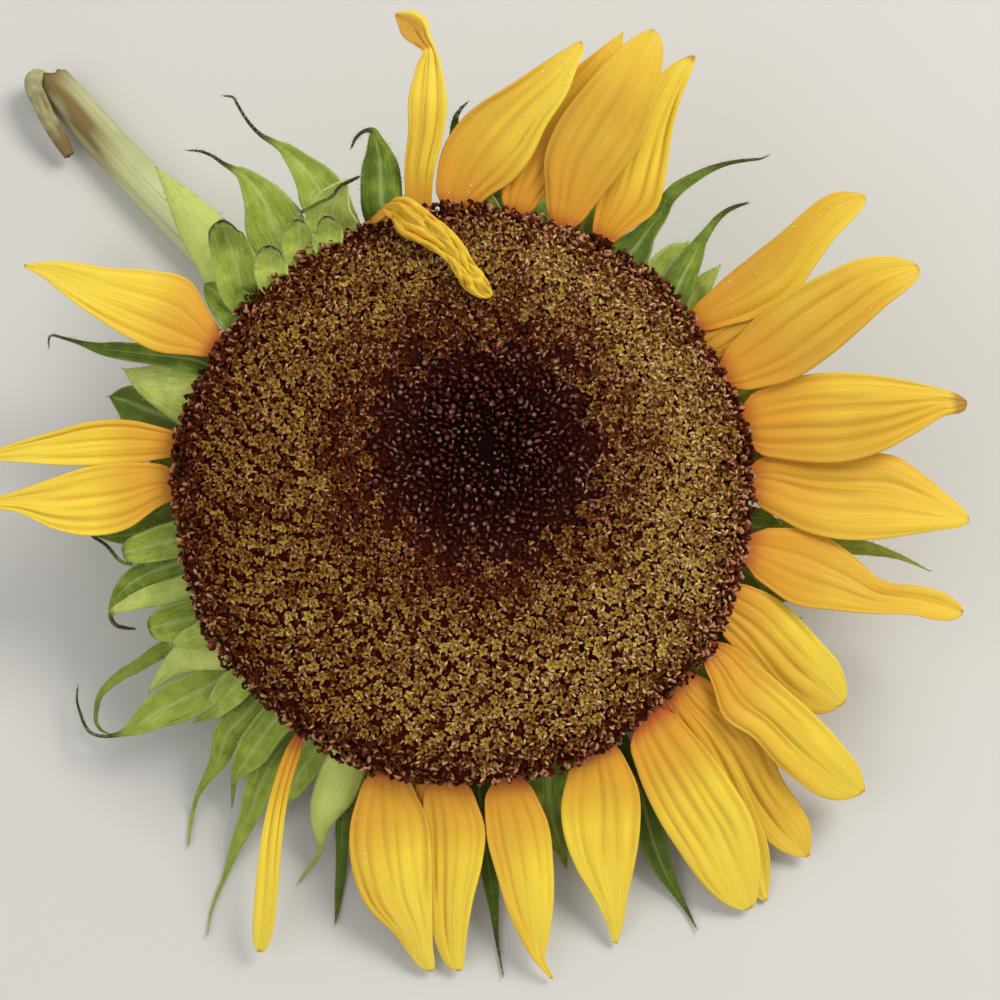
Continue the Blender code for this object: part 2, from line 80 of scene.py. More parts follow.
def routePoint(points, t):
    # Catmull-Rom through the points
    place = min(max(t, 0.0), 0.99999) * (len(points) - 1)
    index = int(place)
    f = place - index
    p0 = points[max(index - 1, 0)]
    p1, p2 = points[index], points[index + 1]
    p3 = points[min(index + 2, len(points) - 1)]
    bend = (2 * p0 - 5 * p1 + 4 * p2 - p3) * f * f + (3 * p1 - p0 - 3 * p2 + p3) * f**3
    return 0.5 * (2 * p1 + (p2 - p0) * f + bend)


def aboveTable(point):
    height = (headTurn @ point + head["centre"]).z - head["tableGap"]
    eased = 0.5 * (height + math.sqrt(height * height + head["tableEase"]))
    return point + Vector((0.0, 0.0, (eased - height) / math.cos(head["lean"])))


def meshFrom(name, bm):
    mesh = bpy.data.meshes.new(name)
    bm.to_mesh(mesh)
    bm.free()
    return mesh


def placeObject(name, data):
    item = bpy.data.objects.new(name, data)
    bpy.context.scene.collection.objects.link(item)
    return item


def finishPiece(name, bm, materials, replaced=(), smooth=True):
    mesh = meshFrom(name, bm)
    piece = placeObject(name, mesh)
    for material in materials:
        mesh.materials.append(material)
    if smooth:
        mesh.shade_smooth()
    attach(piece, "root")
    if replaced:
        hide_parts(*replaced)
    return piece


# materials

def newMaterial(name, roughness, specular=0.4):
    material = bpy.data.materials.new(name)
    material.use_nodes = True
    shader = material.node_tree.nodes["Principled BSDF"]
    shader.inputs["Roughness"].default_value = roughness
    shader.inputs["Specular IOR Level"].default_value = specular
    return material, material.node_tree, shader


def attributeNode(tree, name):
    node = tree.nodes.new("ShaderNodeAttribute")
    node.attribute_name = name
    return node.outputs["Fac"]


def rampNode(tree, value, stops):
    node = tree.nodes.new("ShaderNodeValToRGB")
    elements = node.color_ramp.elements
    while len(elements) < len(stops):
        elements.new(0.5)
    for element, (place, colour) in zip(elements, stops):
        element.position = place
        element.color = (*colour, 1.0)
    tree.links.new(value, node.inputs["Fac"])
    return node.outputs["Color"]


def noiseNode(tree, scale, detail=3.0, stretch=(1.0, 1.0, 1.0), source=None):
    mapping = tree.nodes.new("ShaderNodeMapping")
    mapping.inputs["Scale"].default_value = stretch
    if source is None:
        source = tree.nodes.new("ShaderNodeTexCoord").outputs["Object"]
    tree.links.new(source, mapping.inputs["Vector"])
    node = tree.nodes.new("ShaderNodeTexNoise")
    node.inputs["Scale"].default_value = scale
    node.inputs["Detail"].default_value = detail
    tree.links.new(mapping.outputs["Vector"], node.inputs["Vector"])
    return node.outputs["Fac"]


def mathNode(tree, operation, first, second=0.0, clamp=False):
    node = tree.nodes.new("ShaderNodeMath")
    node.operation = operation
    node.use_clamp = clamp
    for socket, value in zip(node.inputs, (first, second)):
        if isinstance(value, (int, float)):
            socket.default_value = value
        else:
            tree.links.new(value, socket)
    return node.outputs["Value"]


def added(tree, first, second, clamp=False):
    return mathNode(tree, "ADD", first, second, clamp)


def scaled(tree, value, factor, middle=None, clamp=False):
    # the value, taken about its middle if it has one, times a factor
    if middle is not None:
        value = mathNode(tree, "SUBTRACT", value, middle, clamp)
    return mathNode(tree, "MULTIPLY", value, factor)


def mixColour(tree, share, first, second):
    node = tree.nodes.new("ShaderNodeMix")
    node.data_type = "RGBA"
    for socket, value in ((node.inputs[0], share), (node.inputs[6], first), (node.inputs[7], second)):
        if isinstance(value, (int, float)):
            socket.default_value = value
        elif isinstance(value, tuple):
            socket.default_value = (*value, 1.0)
        else:
            tree.links.new(value, socket)
    return node.outputs[2]


def bumpNode(tree, shader, height, strength, distance):
    node = tree.nodes.new("ShaderNodeBump")
    node.inputs["Strength"].default_value = strength
    node.inputs["Distance"].default_value = distance
    tree.links.new(height, node.inputs["Height"])
    tree.links.new(node.outputs["Normal"], shader.inputs["Normal"])


def bladeCoordinates(tree):
    # along and across the blade, so that fibres follow it
    combine = tree.nodes.new("ShaderNodeCombineXYZ")
    tree.links.new(attributeNode(tree, "along"), combine.inputs["X"])
    tree.links.new(attributeNode(tree, "across"), combine.inputs["Y"])
    tree.links.new(attributeNode(tree, "tone"), combine.inputs["Z"])
    return combine.outputs["Vector"]


petalColours = {
    "lemon": (0.88, 0.64, 0.045),
    "butter": (0.88, 0.67, 0.07),
    "gold": (0.73, 0.42, 0.027),
    "amber": (0.71, 0.31, 0.02),
    "claw": (0.55, 0.10, 0.015),
    # painted shade for the grooves and folds, also the colour of the fine vein streaks
    "grooveShadeAndLines": (0.56, 0.28, 0.02),
    "scorch": (0.36, 0.15, 0.03),
}


def petalMaterial():
    material, tree, shader = newMaterial("petalYellow", 0.52, 0.25)
    along = attributeNode(tree, "along")
    tone = attributeNode(tree, "tone")
    c = petalColours
    fresh = rampNode(tree, along, [(0.16, c["claw"]), (0.22, c["amber"]), (0.35, c["gold"]),
            (0.49, c["lemon"]), (1.0, c["butter"])])
    ripe = rampNode(tree, along, [(0.13, c["claw"]), (0.2, c["amber"]), (0.5, (0.66, 0.35, 0.03)),
            (0.8, c["gold"]), (1.0, (0.78, 0.52, 0.045))])
    fibres = noiseNode(tree, 1.0, 4.0, (2.6, 17.0, 30.0), bladeCoordinates(tree))
    fine = noiseNode(tree, 1.0, 2.0, (3.0, 60.0, 30.0), bladeCoordinates(tree))
    patches = noiseNode(tree, 55.0, 2.0)
    share = added(tree, tone, scaled(tree, patches, 0.7, 0.5))
    share = added(tree, share, scaled(tree, fibres, 0.9, 0.5), True)
    colour = mixColour(tree, share, fresh, ripe)
    # darker in the grooves and crumpled folds: painted shade; the fine streaks next are veins
    colour = mixColour(tree, scaled(tree, attributeNode(tree, "grooveShadeAndLines"), 0.6), colour, c["grooveShadeAndLines"])
    colour = mixColour(tree, scaled(tree, fine, 0.9, 0.5, True), colour, c["grooveShadeAndLines"])
    colour = mixColour(tree, attributeNode(tree, "scorch"), colour, c["scorch"])
    tree.links.new(colour, shader.inputs["Base Color"])
    bumpNode(tree, shader, added(tree, fibres, scaled(tree, fine, 0.5)), 0.4, 0.0004)
    return material


def undersideMaterial():
    material, tree, shader = newMaterial("petalUnderside", 0.6, 0.25)
    fibres = noiseNode(tree, 1.0, 4.0, (4.0, 30.0, 40.0), bladeCoordinates(tree))
    colour = rampNode(tree, attributeNode(tree, "along"),
            [(0.12, (0.60, 0.15, 0.02)), (0.3, (0.80, 0.52, 0.04)), (1.0, (0.88, 0.65, 0.05))])
    colour = mixColour(tree, scaled(tree, fibres, 0.5), colour, (0.72, 0.42, 0.025))
    # darker in the grooves: painted shade
    grooveShadeAndLines = scaled(tree, attributeNode(tree, "grooveShadeAndLines"), 0.6)
    colour = mixColour(tree, grooveShadeAndLines, colour, petalColours["grooveShadeAndLines"])
    colour = mixColour(tree, attributeNode(tree, "scorch"), colour, petalColours["scorch"])
    tree.links.new(colour, shader.inputs["Base Color"])
    bumpNode(tree, shader, fibres, 0.4, 0.0005)
    return material


def bractMaterial():
    material, tree, shader = newMaterial("bractGreen", 0.6, 0.2)
    fibres = noiseNode(tree, 1.0, 3.0, (4.0, 18.0, 40.0), bladeCoordinates(tree))
    mottle = noiseNode(tree, 260.0, 3.0)
    value = added(tree, attributeNode(tree, "tone"), scaled(tree, fibres, 0.9, 0.5))
    value = added(tree, value, scaled(tree, mottle, 0.8, 0.5), True)
    colour = rampNode(tree, value, [(0.0, (0.10, 0.165, 0.014)), (0.3, (0.23, 0.31, 0.032)),
            (0.6, (0.36, 0.44, 0.062)), (1.0, (0.60, 0.66, 0.16))])
    grooveShadeAndLines = scaled(tree, attributeNode(tree, "grooveShadeAndLines"), 0.45)
    colour = mixColour(tree, grooveShadeAndLines, colour, (0.55, 0.62, 0.24))
    colour = mixColour(tree, attributeNode(tree, "scorch"), colour, (0.05, 0.036, 0.010))
    tree.links.new(colour, shader.inputs["Base Color"])
    height = added(tree, fibres, scaled(tree, noiseNode(tree, 1100.0, 2.0), 0.6))
    bumpNode(tree, shader, height, 0.6, 0.0005)
    return material


def receptacleMaterial():
    material, tree, shader = newMaterial("receptacleGreen", 0.6, 0.3)
    mottle = noiseNode(tree, 120.0, 4.0)
    colour = rampNode(tree, mottle, [(0.3, (0.16, 0.27, 0.06)), (0.55, (0.25, 0.38, 0.10)),
            (0.75, (0.36, 0.46, 0.16))])
    tree.links.new(colour, shader.inputs["Base Color"])
    bumpNode(tree, shader, added(tree, mottle, noiseNode(tree, 900.0, 2.0)), 0.4, 0.0006)
    return material


def stemMaterial():
    material, tree, shader = newMaterial("stemGreen", 0.55, 0.35)
    along = attributeNode(tree, "along")
    fibres = noiseNode(tree, 1.0, 4.0, (7.0, 30.0, 1.0), bladeCoordinates(tree))
    patches = noiseNode(tree, 60.0, 3.0)
    colour = rampNode(tree, along, [(0.0, (0.60, 0.64, 0.23)), (0.4, (0.55, 0.58, 0.29)),
            (0.75, (0.56, 0.57, 0.24)), (0.9, (0.46, 0.44, 0.16)), (1.0, (0.32, 0.26, 0.10))])
    colour = mixColour(tree, scaled(tree, fibres, 0.55), colour, (0.76, 0.78, 0.52))
    colour = mixColour(tree, scaled(tree, patches, 2.0, 0.5, True), colour, (0.25, 0.33, 0.08))
    # darker in the furrows between the ribs: painted shade
    colour = mixColour(tree, attributeNode(tree, "grooveShadeAndLines"), colour, (0.24, 0.30, 0.09))
    colour = mixColour(tree, attributeNode(tree, "scorch"), colour, (0.22, 0.145, 0.045))
    tree.links.new(colour, shader.inputs["Base Color"])
    bumpNode(tree, shader, fibres, 0.5, 0.0006)
    return material


def floretMaterial(name, roughness, grainGain, stops):
    material, tree, shader = newMaterial(name, roughness, 0.06)
    grain = noiseNode(tree, 1500.0, 2.0)
    value = added(tree, attributeNode(tree, "tone"), scaled(tree, grain, grainGain, 0.5), True)
    tree.links.new(rampNode(tree, value, stops), shader.inputs["Base Color"])
    bumpNode(tree, shader, grain, 0.4, 0.0002)
    return material


def hairMaterial():
    material, tree, shader = newMaterial("plantHairs", 0.5, 0.4)
    colour = rampNode(tree, attributeNode(tree, "tone"),
            [(0.0, (0.36, 0.45, 0.18)), (1.0, (0.72, 0.76, 0.55))])
    tree.links.new(colour, shader.inputs["Base Color"])
    return material


yellowFace = petalMaterial()
yellowBack = undersideMaterial()
bractFace = bractMaterial()
receptacleFace = receptacleMaterial()
stemFace = stemMaterial()
hairFace = hairMaterial()
dewFace, dewTree, dewShader = newMaterial("dewWater", 0.08, 0.8)
dewShader.inputs["Base Color"].default_value = (1.0, 0.92, 0.62, 1.0)
dewShader.inputs["Transmission Weight"].default_value = 0.45
dewShader.inputs["IOR"].default_value = 1.33
# roughness, how much the grain varies the tone, and the colours from dark to pale
floretLooks = {
    "discBedMaroon": (0.9, 0.3, [(0.0, (0.004, 0.0006, 0.0003)), (0.5, (0.030, 0.004, 0.001)),
        (1.0, (0.055, 0.008, 0.002))]),
    "floretOlive": (0.65, 0.35, [(0.0, (0.08, 0.018, 0.003)), (0.25, (0.19, 0.08, 0.012)),
        (0.5, (0.31, 0.175, 0.028)), (0.75, (0.40, 0.27, 0.048)), (1.0, (0.48, 0.38, 0.075))]),
    "floretTan": (0.6, 0.35, [(0.0, (0.08, 0.012, 0.002)), (0.35, (0.24, 0.085, 0.018)),
        (0.7, (0.46, 0.24, 0.075)), (1.0, (0.70, 0.45, 0.19))]),
    "floretMaroon": (0.55, 0.3, [(0.0, (0.020, 0.0015, 0.0003)), (0.4, (0.055, 0.007, 0.0015)),
        (0.75, (0.16, 0.038, 0.011)), (1.0, (0.46, 0.22, 0.12))]),
    "budMaroon": (0.55, 0.3, [(0.0, (0.018, 0.001, 0.0004)), (0.5, (0.085, 0.018, 0.010)),
        (0.85, (0.17, 0.08, 0.065)), (1.0, (0.32, 0.19, 0.16))]),
}
floretFaces = {name: floretMaterial(name, *look) for name, look in floretLooks.items()}
print("materials made")


# blades: petals and bracts are grids laid along a middle line

def bladeLayers(bm):
    layers = bm.verts.layers.float
    return {name: layers.new(name) for name in ("along", "across", "grooveShadeAndLines", "tone", "scorch")}


def bladeFrame(blade, t):
    # the middle, the directions across and up, and the half widths at t
    step = 0.01
    middle = blade["route"](t)
    forward = (blade["route"](min(1.0, t + step)) - blade["route"](max(0.0, t - step))).normalized()
    angle = math.radians(blade["heading"](t))
    across = Vector((-math.sin(angle), math.cos(angle), 0.0))
    across = (across - across.dot(forward) * forward).normalized()
    across = Matrix.Rotation(math.radians(blade["roll"](t)), 3, forward) @ across
    left, right = blade["edges"](t)
    spare = max(0.0, 2.0 * blade["narrowest"] - left - right) / 2.0
    return t, middle, across, forward.cross(across), left + spare, right + spare


def addBlade(target, blade):
    # the blade's functions give its middle line, its edges and its section, all in millimetres
    bm = bmesh.new()
    layer = bladeLayers(bm)
    bmesh.ops.create_grid(bm, x_segments=blade["lengthSteps"], y_segments=blade["widthSteps"], size=0.5)
    frames = {}
    for vert in bm.verts:
        key = round(vert.co.x, 5)
        if key not in frames:
            even = vert.co.x + 0.5
            t = even - blade["finerEnds"] * math.sin(2.0 * math.pi * even)
            frames[key] = bladeFrame(blade, min(1.0, max(0.0, t)))
        t, middle, across, up, left, right = frames[key]
        s = 2.0 * vert.co.y
        height, grooveShadeAndLines = blade["section"](t, s)
        point = middle + across * mixed(-right, left, 0.5 * (s + 1.0)) + up * height
        vert.co = headMatrix @ point
        vert.co.z = max(vert.co.z, head["lowest"] * millimetre)
        vert[layer["along"]] = blade["along"](t, s)
        vert[layer["across"]] = s
        vert[layer["grooveShadeAndLines"]] = grooveShadeAndLines
        vert[layer["tone"]] = min(1.0, max(0.0, blade["tone"](t, s)))
        vert[layer["scorch"]] = min(1.0, max(0.0, blade["scorch"](t, s)))
    mesh = meshFrom("bladePart", bm)
    target.from_mesh(mesh)
    bpy.data.meshes.remove(mesh)


def routeHeading(route):
    # the way that a route runs, seen from above the disc
    def heading(t):
        way = route(min(1.0, t + 0.02)) - route(max(0.0, t - 0.02))
        return math.degrees(math.atan2(way.y, way.x))
    return heading


def seenAt(x, y, level):
    # the point at this level that looks to be at x, y on the disc's face, from the camera
    aim, share = view["aim"], 1.0 - level / view["distance"]
    return Vector((mixed(aim.x, x, share), mixed(aim.y, y, share), level))


def bladeCorners(azimuth, lean, reach, root, baseRadius, tipLevel, arch):
    base = polarPoint(azimuth, baseRadius, root.z)
    heading = polarPoint(azimuth + lean, 1.0, 0.0)
    tip = base + heading * reach
    tip.z = tipLevel
    out = root + polarPoint(azimuth, 0.4 * (baseRadius + reach - root.xy.length), 0.0)
    nearTip = tip - heading * 0.36 * reach + Vector((0.0, 0.0, arch))
    return [root, out, nearTip, tip]


def spinProfile(bm, profile, steps):
    # a closed shape turned about the z axis from points of (radius, level)
    points = [bm.verts.new((radius, 0.0, level)) for radius, level in profile]
    edges = [bm.edges.new(pair) for pair in zip(points, points[1:])]
    bmesh.ops.spin(bm, geom=points + edges, cent=(0, 0, 0), axis=(0, 0, 1), angle=2.0 * math.pi,
            steps=steps, use_merge=True)
    bmesh.ops.remove_doubles(bm, verts=bm.verts, dist=0.001)
    bmesh.ops.recalc_face_normals(bm, faces=bm.faces)


def solidifyPiece(piece, thickness, underside):
    solid = piece.modifiers.new("thickness", "SOLIDIFY")
    solid.thickness = thickness * millimetre
    solid.offset = 0.0
    solid.material_offset = underside
    solid.use_quality_normals = True


# small shapes set down many times

def templateMesh(shape):
    # a small shape about the z axis, one unit across, with its tone in an attribute
    bm = bmesh.new()
    tone = bm.verts.layers.float.new("tone")
    angle = bm.verts.layers.float.new("angle")
    shape(bm, tone, angle)
    bm.verts.layers.float.remove(angle)
    return meshFrom("template", bm)


def extrudeEdges(bm, edges):
    grown = bmesh.ops.extrude_edge_only(bm, edges=edges)["geom"]
    return ([item for item in grown if isinstance(item, bmesh.types.BMEdge)],
        [item for item in grown if isinstance(item, bmesh.types.BMVert)])


def tubeAlong(bm, tone, angle, stations, sides):
    # a tube extruded along a line in the x-z plane; the stations give x, z, radius and tone
    verts = bmesh.ops.create_circle(bm, cap_ends=False, segments=sides, radius=1.0)["verts"]
    for vert in verts:
        vert[angle] = math.atan2(vert.co.y, vert.co.x)
    edges = list({edge for vert in verts for edge in vert.link_edges})
    for index, (x, z, radius, value) in enumerate(stations):
        if index:
            edges, verts = extrudeEdges(bm, edges)
        before, after = stations[max(index - 1, 0)], stations[min(index + 1, len(stations) - 1)]
        forward = Vector((after[0] - before[0], 0.0, after[1] - before[1])).normalized()
        outward = Vector((0.0, 1.0, 0.0)).cross(forward)
        for vert in verts:
            turned = outward * math.cos(vert[angle]) + Vector((0.0, math.sin(vert[angle]), 0.0))
            vert.co = Vector((x, 0.0, z)) + turned * radius
            vert[tone] = value
    return edges, verts


def closeTop(bm, tone, edges, height, value):
    top = bmesh.ops.edgeloop_fill(bm, edges=edges)["faces"]
    for vert in bmesh.ops.poke(bm, faces=top)["verts"]:
        vert.co.z = height
        vert[tone] = value


def budShape(bm, tone, angle):
    edges, verts = tubeAlong(bm, tone, angle,
            [(0.0, -0.5, 0.42, 0.1), (0.0, 0.15, 0.5, 0.35), (0.04, 0.6, 0.33, 0.6)], 5)
    closeTop(bm, tone, edges, 0.86, 0.95)


def corollaShape(bm, tone, angle):
    # a short tube that opens in a star of five lobes round a darker throat
    edges, verts = tubeAlong(bm, tone, angle, [(0.0, -0.45, 0.22, 0.0), (0.0, 0.12, 0.42, 0.7)], 10)
    for vert in verts:
        lobe = math.sin(5.0 * math.atan2(vert.co.y, vert.co.x))
        vert.co = Vector((vert.co.x * (1.0 + 0.16 * lobe), vert.co.y * (1.0 + 0.16 * lobe),
                0.14 + 0.12 * lobe))
        vert[tone] = 0.62 + 0.2 * lobe
    innerEdges, innerVerts = extrudeEdges(bm, edges)
    for vert in innerVerts:
        vert.co = Vector((0.36 * vert.co.x, 0.36 * vert.co.y, 0.1))
        vert[tone] = 0.5
    closeTop(bm, tone, innerEdges, -0.06, 0.0)


def curlShape(bm, tone, angle):
    # a thick style that bends over at its end; its tone runs from dark at the foot to pale over the bend,
    # painted shade below and a painted highlight on top
    edges, verts = tubeAlong(bm, tone, angle,
            [(-0.34, -0.3, 0.17, 0.05), (-0.27, 0.12, 0.2, 0.5), (0.06, 0.27, 0.2, 0.72),
            (0.4, 0.02, 0.13, 0.95)], 4)
    bmesh.ops.edgeloop_fill(bm, edges=edges)


def hairShape(bm, tone, angle):
    for vert in bmesh.ops.create_cone(bm, cap_ends=False, segments=3, radius1=0.045, radius2=0.008,
            depth=1.0)["verts"]:
        vert.co.z += 0.5
        vert[tone] = vert.co.z


def dropShape(bm, tone, angle):
    for vert in bmesh.ops.create_icosphere(bm, subdivisions=2, radius=1.0)["verts"]:
        vert.co.z *= 0.7


def scatter(name, places, template, material, replaced=(), smooth=False):
    # each place is a matrix and a shift of tone
    bm = bmesh.new()
    bm.verts.layers.float.new("tone")
    copyMesh = template.copy()
    source = bmesh.new()
    source.from_mesh(template)
    for matrix, shift in places:
        small = source.copy()
        layer = small.verts.layers.float["tone"]
        for vert in small.verts:
            vert[layer] += shift
        small.transform(matrix)
        small.to_mesh(copyMesh)
        small.free()
        bm.from_mesh(copyMesh)
    source.free()
    bpy.data.meshes.remove(copyMesh)
    bpy.data.meshes.remove(template)
    bmesh.ops.recalc_face_normals(bm, faces=bm.faces)
    return finishPiece(name, bm, [material], replaced, smooth)


def standOn(point, direction, size):
    turn = direction.to_track_quat("Z", "Y").to_matrix().to_4x4()
    return Matrix.Translation(point) @ turn @ Matrix.Scale(size * millimetre, 4)


hairGrowth = {
    "upwards": 0.5,  # how far a hair at the rim leans with the face, and how far outwards
    "outwards": 1.2,
    "spread": 0.45,
    "tones": (-0.3, 0.2),
    "nearTable": 2.0,
}


def growHairs(bm, first, count, lengths, draw):
    # hairs at the rim and on the face of what was last added; near the table they turn up
    bm.verts.ensure_lookup_table()
    bm.normal_update()
    grown = [vert for vert in bm.verts[first:] if vert.link_faces]
    rim = [vert for vert in grown if vert.is_boundary]
    places = []
    for number in range(count):
        vert = draw.choice(rim if rim and number % 2 else grown)
        direction = vert.normal.copy()
        if vert.is_boundary:
            neighbours = [edge.other_vert(vert).co for edge in vert.link_edges]
            outwards = (vert.co - sum(neighbours, Vector()) / len(neighbours)).normalized()
            direction = hairGrowth["upwards"] * direction + hairGrowth["outwards"] * outwards
        direction += hairGrowth["spread"] * Vector([draw.uniform(-1, 1) for axis in range(3)])
        if vert.co.z < hairGrowth["nearTable"] * millimetre:
            direction.z = abs(direction.z)
        place = standOn(vert.co, direction, draw.uniform(*lengths))
        places.append((place, draw.uniform(*hairGrowth["tones"])))
    return places


# ray petals

petals = {
    "rootRadius": 64.0,
    "baseRadius": 74.0,
    "level": -9.5,
    "layerRise": 0.9,
    "thickness": 0.4,
    "lengthSteps": 42,
    "widthSteps": 30,
    "bentSteps": (96, 26),
    # where the half widths below are measured
    "stations": (0.0, 0.2, 0.35, 0.5, 0.65, 0.8, 0.9, 1.0),
    "grooveDepth": (0.3, 0.85),
    "grooveWidth": (0.035, 0.09),
    "swell": 0.85,
    "dewLift": 0.2,
    "dewSizes": (0.12, 0.34),
    "dewCount": 3,  # on a petal that isn't among the dewy ones
}

# azimuth, lean, reach, tip level, layer, arch, roll, grooves, tone, tone's turn to one side
# (painted shade on one side of the petal), and the half widths on the left and on the right of the middle
# line
petalRows = [
    (92, -39, 55, 1, 0.2, 3, -5, 5, 0.45, 0.35, (7.4, 10, 9.3, 6.2, 3.8, 2.2, 0.4),
        (5, 10, 10.7, 8.3, 6.5, 3.9, 2)),
    (80, -21, 56, -4, -1, 2, 0, 4, 0.9, 0.0, (5.5, 7.5, 8, 7, 4.5, 2.6, 0.4),
        (4.3, 7, 8, 7.5, 5.5, 3, 0.4)),
    (70, -5, 56, 4, 1, 4, -4, 5, 0.78, 0.1, (6.2, 11.3, 11.7, 9.5, 7, 4.6, 1),
        (4.8, 7.5, 10, 9.7, 7.7, 5.8, 3)),
    (61, 3, 56, -5, -1, 3, -4, 4, 0.0, 0.2, (4.7, 8, 9, 8, 6, 5, 1.2),
        (3.5, 8.6, 6.7, 3.6, 1.8, 1.4, 0.8)),
    (37, -1, 56, 1, -0.6, 2, 5, 3, 0.75, 0.6, (3.4, 4.5, 4.9, 5.4, 6.3, 5.6, 1.8),
        (5, 9, 10.5, 7.2, 4, 3, 1.6)),
    (32, -2, 22, -8, -1, 0, 0, 3, 1.0, 0.0, (4, 5, 5, 4, 3, 2, 0.5), (4, 5, 5, 4, 3, 2, 0.5)),
    (24, 6, 58, 3, 1.2, 5, 3, 4, 0.8, -0.2, (7, 10.3, 11.5, 11, 9.6, 6.7, 1.8),
        (5.9, 8.7, 8.2, 6.5, 4.5, 3.7, 2.6)),
    (14, -8, 60, -3, 0.3, 4, -3, 6, 0.7, -0.2, (8.5, 10.8, 10.6, 8.9, 6.4, 4.2, 1.6),
        (8.9, 11.9, 12.9, 10.9, 6.3, 3.1, 2.6)),
    (3, -13, 60, -8, -0.5, 3, -4, 5, 0.68, 0.1, (8, 9, 11, 12.4, 8.7, 5.3, 2),
        (7.4, 11.5, 12.2, 10.2, 6.4, 3.9, 1.8)),
    (-10, -7, 62, -12, 0, 5, -3, 4, 0.8, 0.1, (6, 8.2, 5.4, 1.4, 3, 3.4, 1.6),
        (8, 11.7, 10.2, 7.9, 5, 4.2, 2.6)),
    (-21, -20, 44, -22, 0.4, 7, 6, 5, 0.5, -0.5, (5.7, 7.5, 7.3, 6.8, 6.4, 4.6, 1.6),
        (8, 10, 11.5, 12.5, 11.2, 8.6, 5)),
    (-32, -10, 60, -21, 1, 10, 4, 5, 0.4, -0.25, (4.6, 5, 5.2, 5.4, 4.8, 3.8, 1),
        (5.3, 11.5, 10.3, 11, 10.2, 8.6, 4)),
    (-39, -16, 62, -25, -1, 5, 4, 4, 0.75, 0.1, (4, 7, 7, 4.8, 5.2, 4.6, 0.8),
        (8.3, 9, 9, 8.5, 8, 6.2, 2)),
    (-49, -14, 62, -22, 1, 9, 4, 6, 0.1, -0.3, (5.5, 7.5, 9.3, 10.3, 8.5, 5.5, 2.5),
        (9.8, 12, 12.3, 11, 9, 6.6, 2.6)),
    (-45, -18, 64, -25, -1, 4, 0, 4, 0.3, 0.0, (4, 6, 7, 7, 6.6, 4.4, 0.8), (4, 6, 8, 8, 7, 5, 1)),
    (-60, -26, 56, -20, 0, 8, 0, 5, 0.05, 0.1, (4, 6.3, 5.8, 4.4, 2.8, 2, 0.4),
        (10.6, 14.4, 14.5, 11.5, 5.8, 2.6, 1.4)),
    (-81, 3, 57, -17, 0, 8, -4, 5, 0.15, -0.5, (5.8, 8, 7.1, 5.2, 2, -0.6, 0.3),
        (7.2, 8.7, 8.2, 7.5, 5.6, 3.6, 0.5)),
    (-93, 6, 53, -17, 0.6, 7, 4, 5, 0.2, -0.35, (6.4, 9.2, 8, 5.2, 2.9, 1.8, 1.2),
        (6.7, 7, 7, 7, 6.5, 5.3, 3)),
    (-97, 14, 46, -18, -1, 4, 0, 4, 0.7, 0.0, (3, 4, 5, 4, 3, 2, 0.4), (4, 5, 5, 4, 3, 2, 0.4)),
    (-106, 28, 57, -17, 0.6, 8, 4, 6, 0.1, -0.45, (6.6, 9.7, 9.1, 6.6, 3.7, 1.9, 1.2),
        (6.8, 10.8, 12.4, 11.5, 6.8, 4.9, 2.6)),
    (-125, 24, 62, -15, 0, 9, 12, 2, -0.05, 0.0, (2, 2.3, 2.8, 3, 3, 2.8, 1.8),
        (2, 2.3, 2.8, 3, 3, 2.8, 1.8)),
    (179, 5, 54, -4, 0, 4, 4, 6, 0.15, -0.1, (3.4, 9.5, 10.7, 8.3, 3.2, 1.6, 0.4),
        (7, 8, 7.3, 5, 2.7, 1.4, 0.4)),
    (169, 15, 55, -6, 0.4, 2, -4, 4, 0.05, -0.2, (4.3, 6, 6, 4.8, 3, 1.8, 0.4),
        (3.3, 5.5, 5.7, 4.2, 2.7, 1.4, 0.4)),
    (149, 8, 55, 0, 0, 4, 4, 4, 0.08, 0.1, (4.2, 7.7, 7.2, 5.4, 3, 1, 0.3),
        (6, 12.9, 11.2, 7.8, 5.7, 3.6, 0.5)),
]

# by azimuth: where the dried brown tip and the crumpled end begin, and how many dewdrops
scorchedTips = {14: 0.93, 61: 0.965, 24: 0.98}
crumpledTips = {14: 0.86}
dewyPetals = {92: 70, 70: 16, 37: 30, -106: 60, -125: 4, 149: 8}

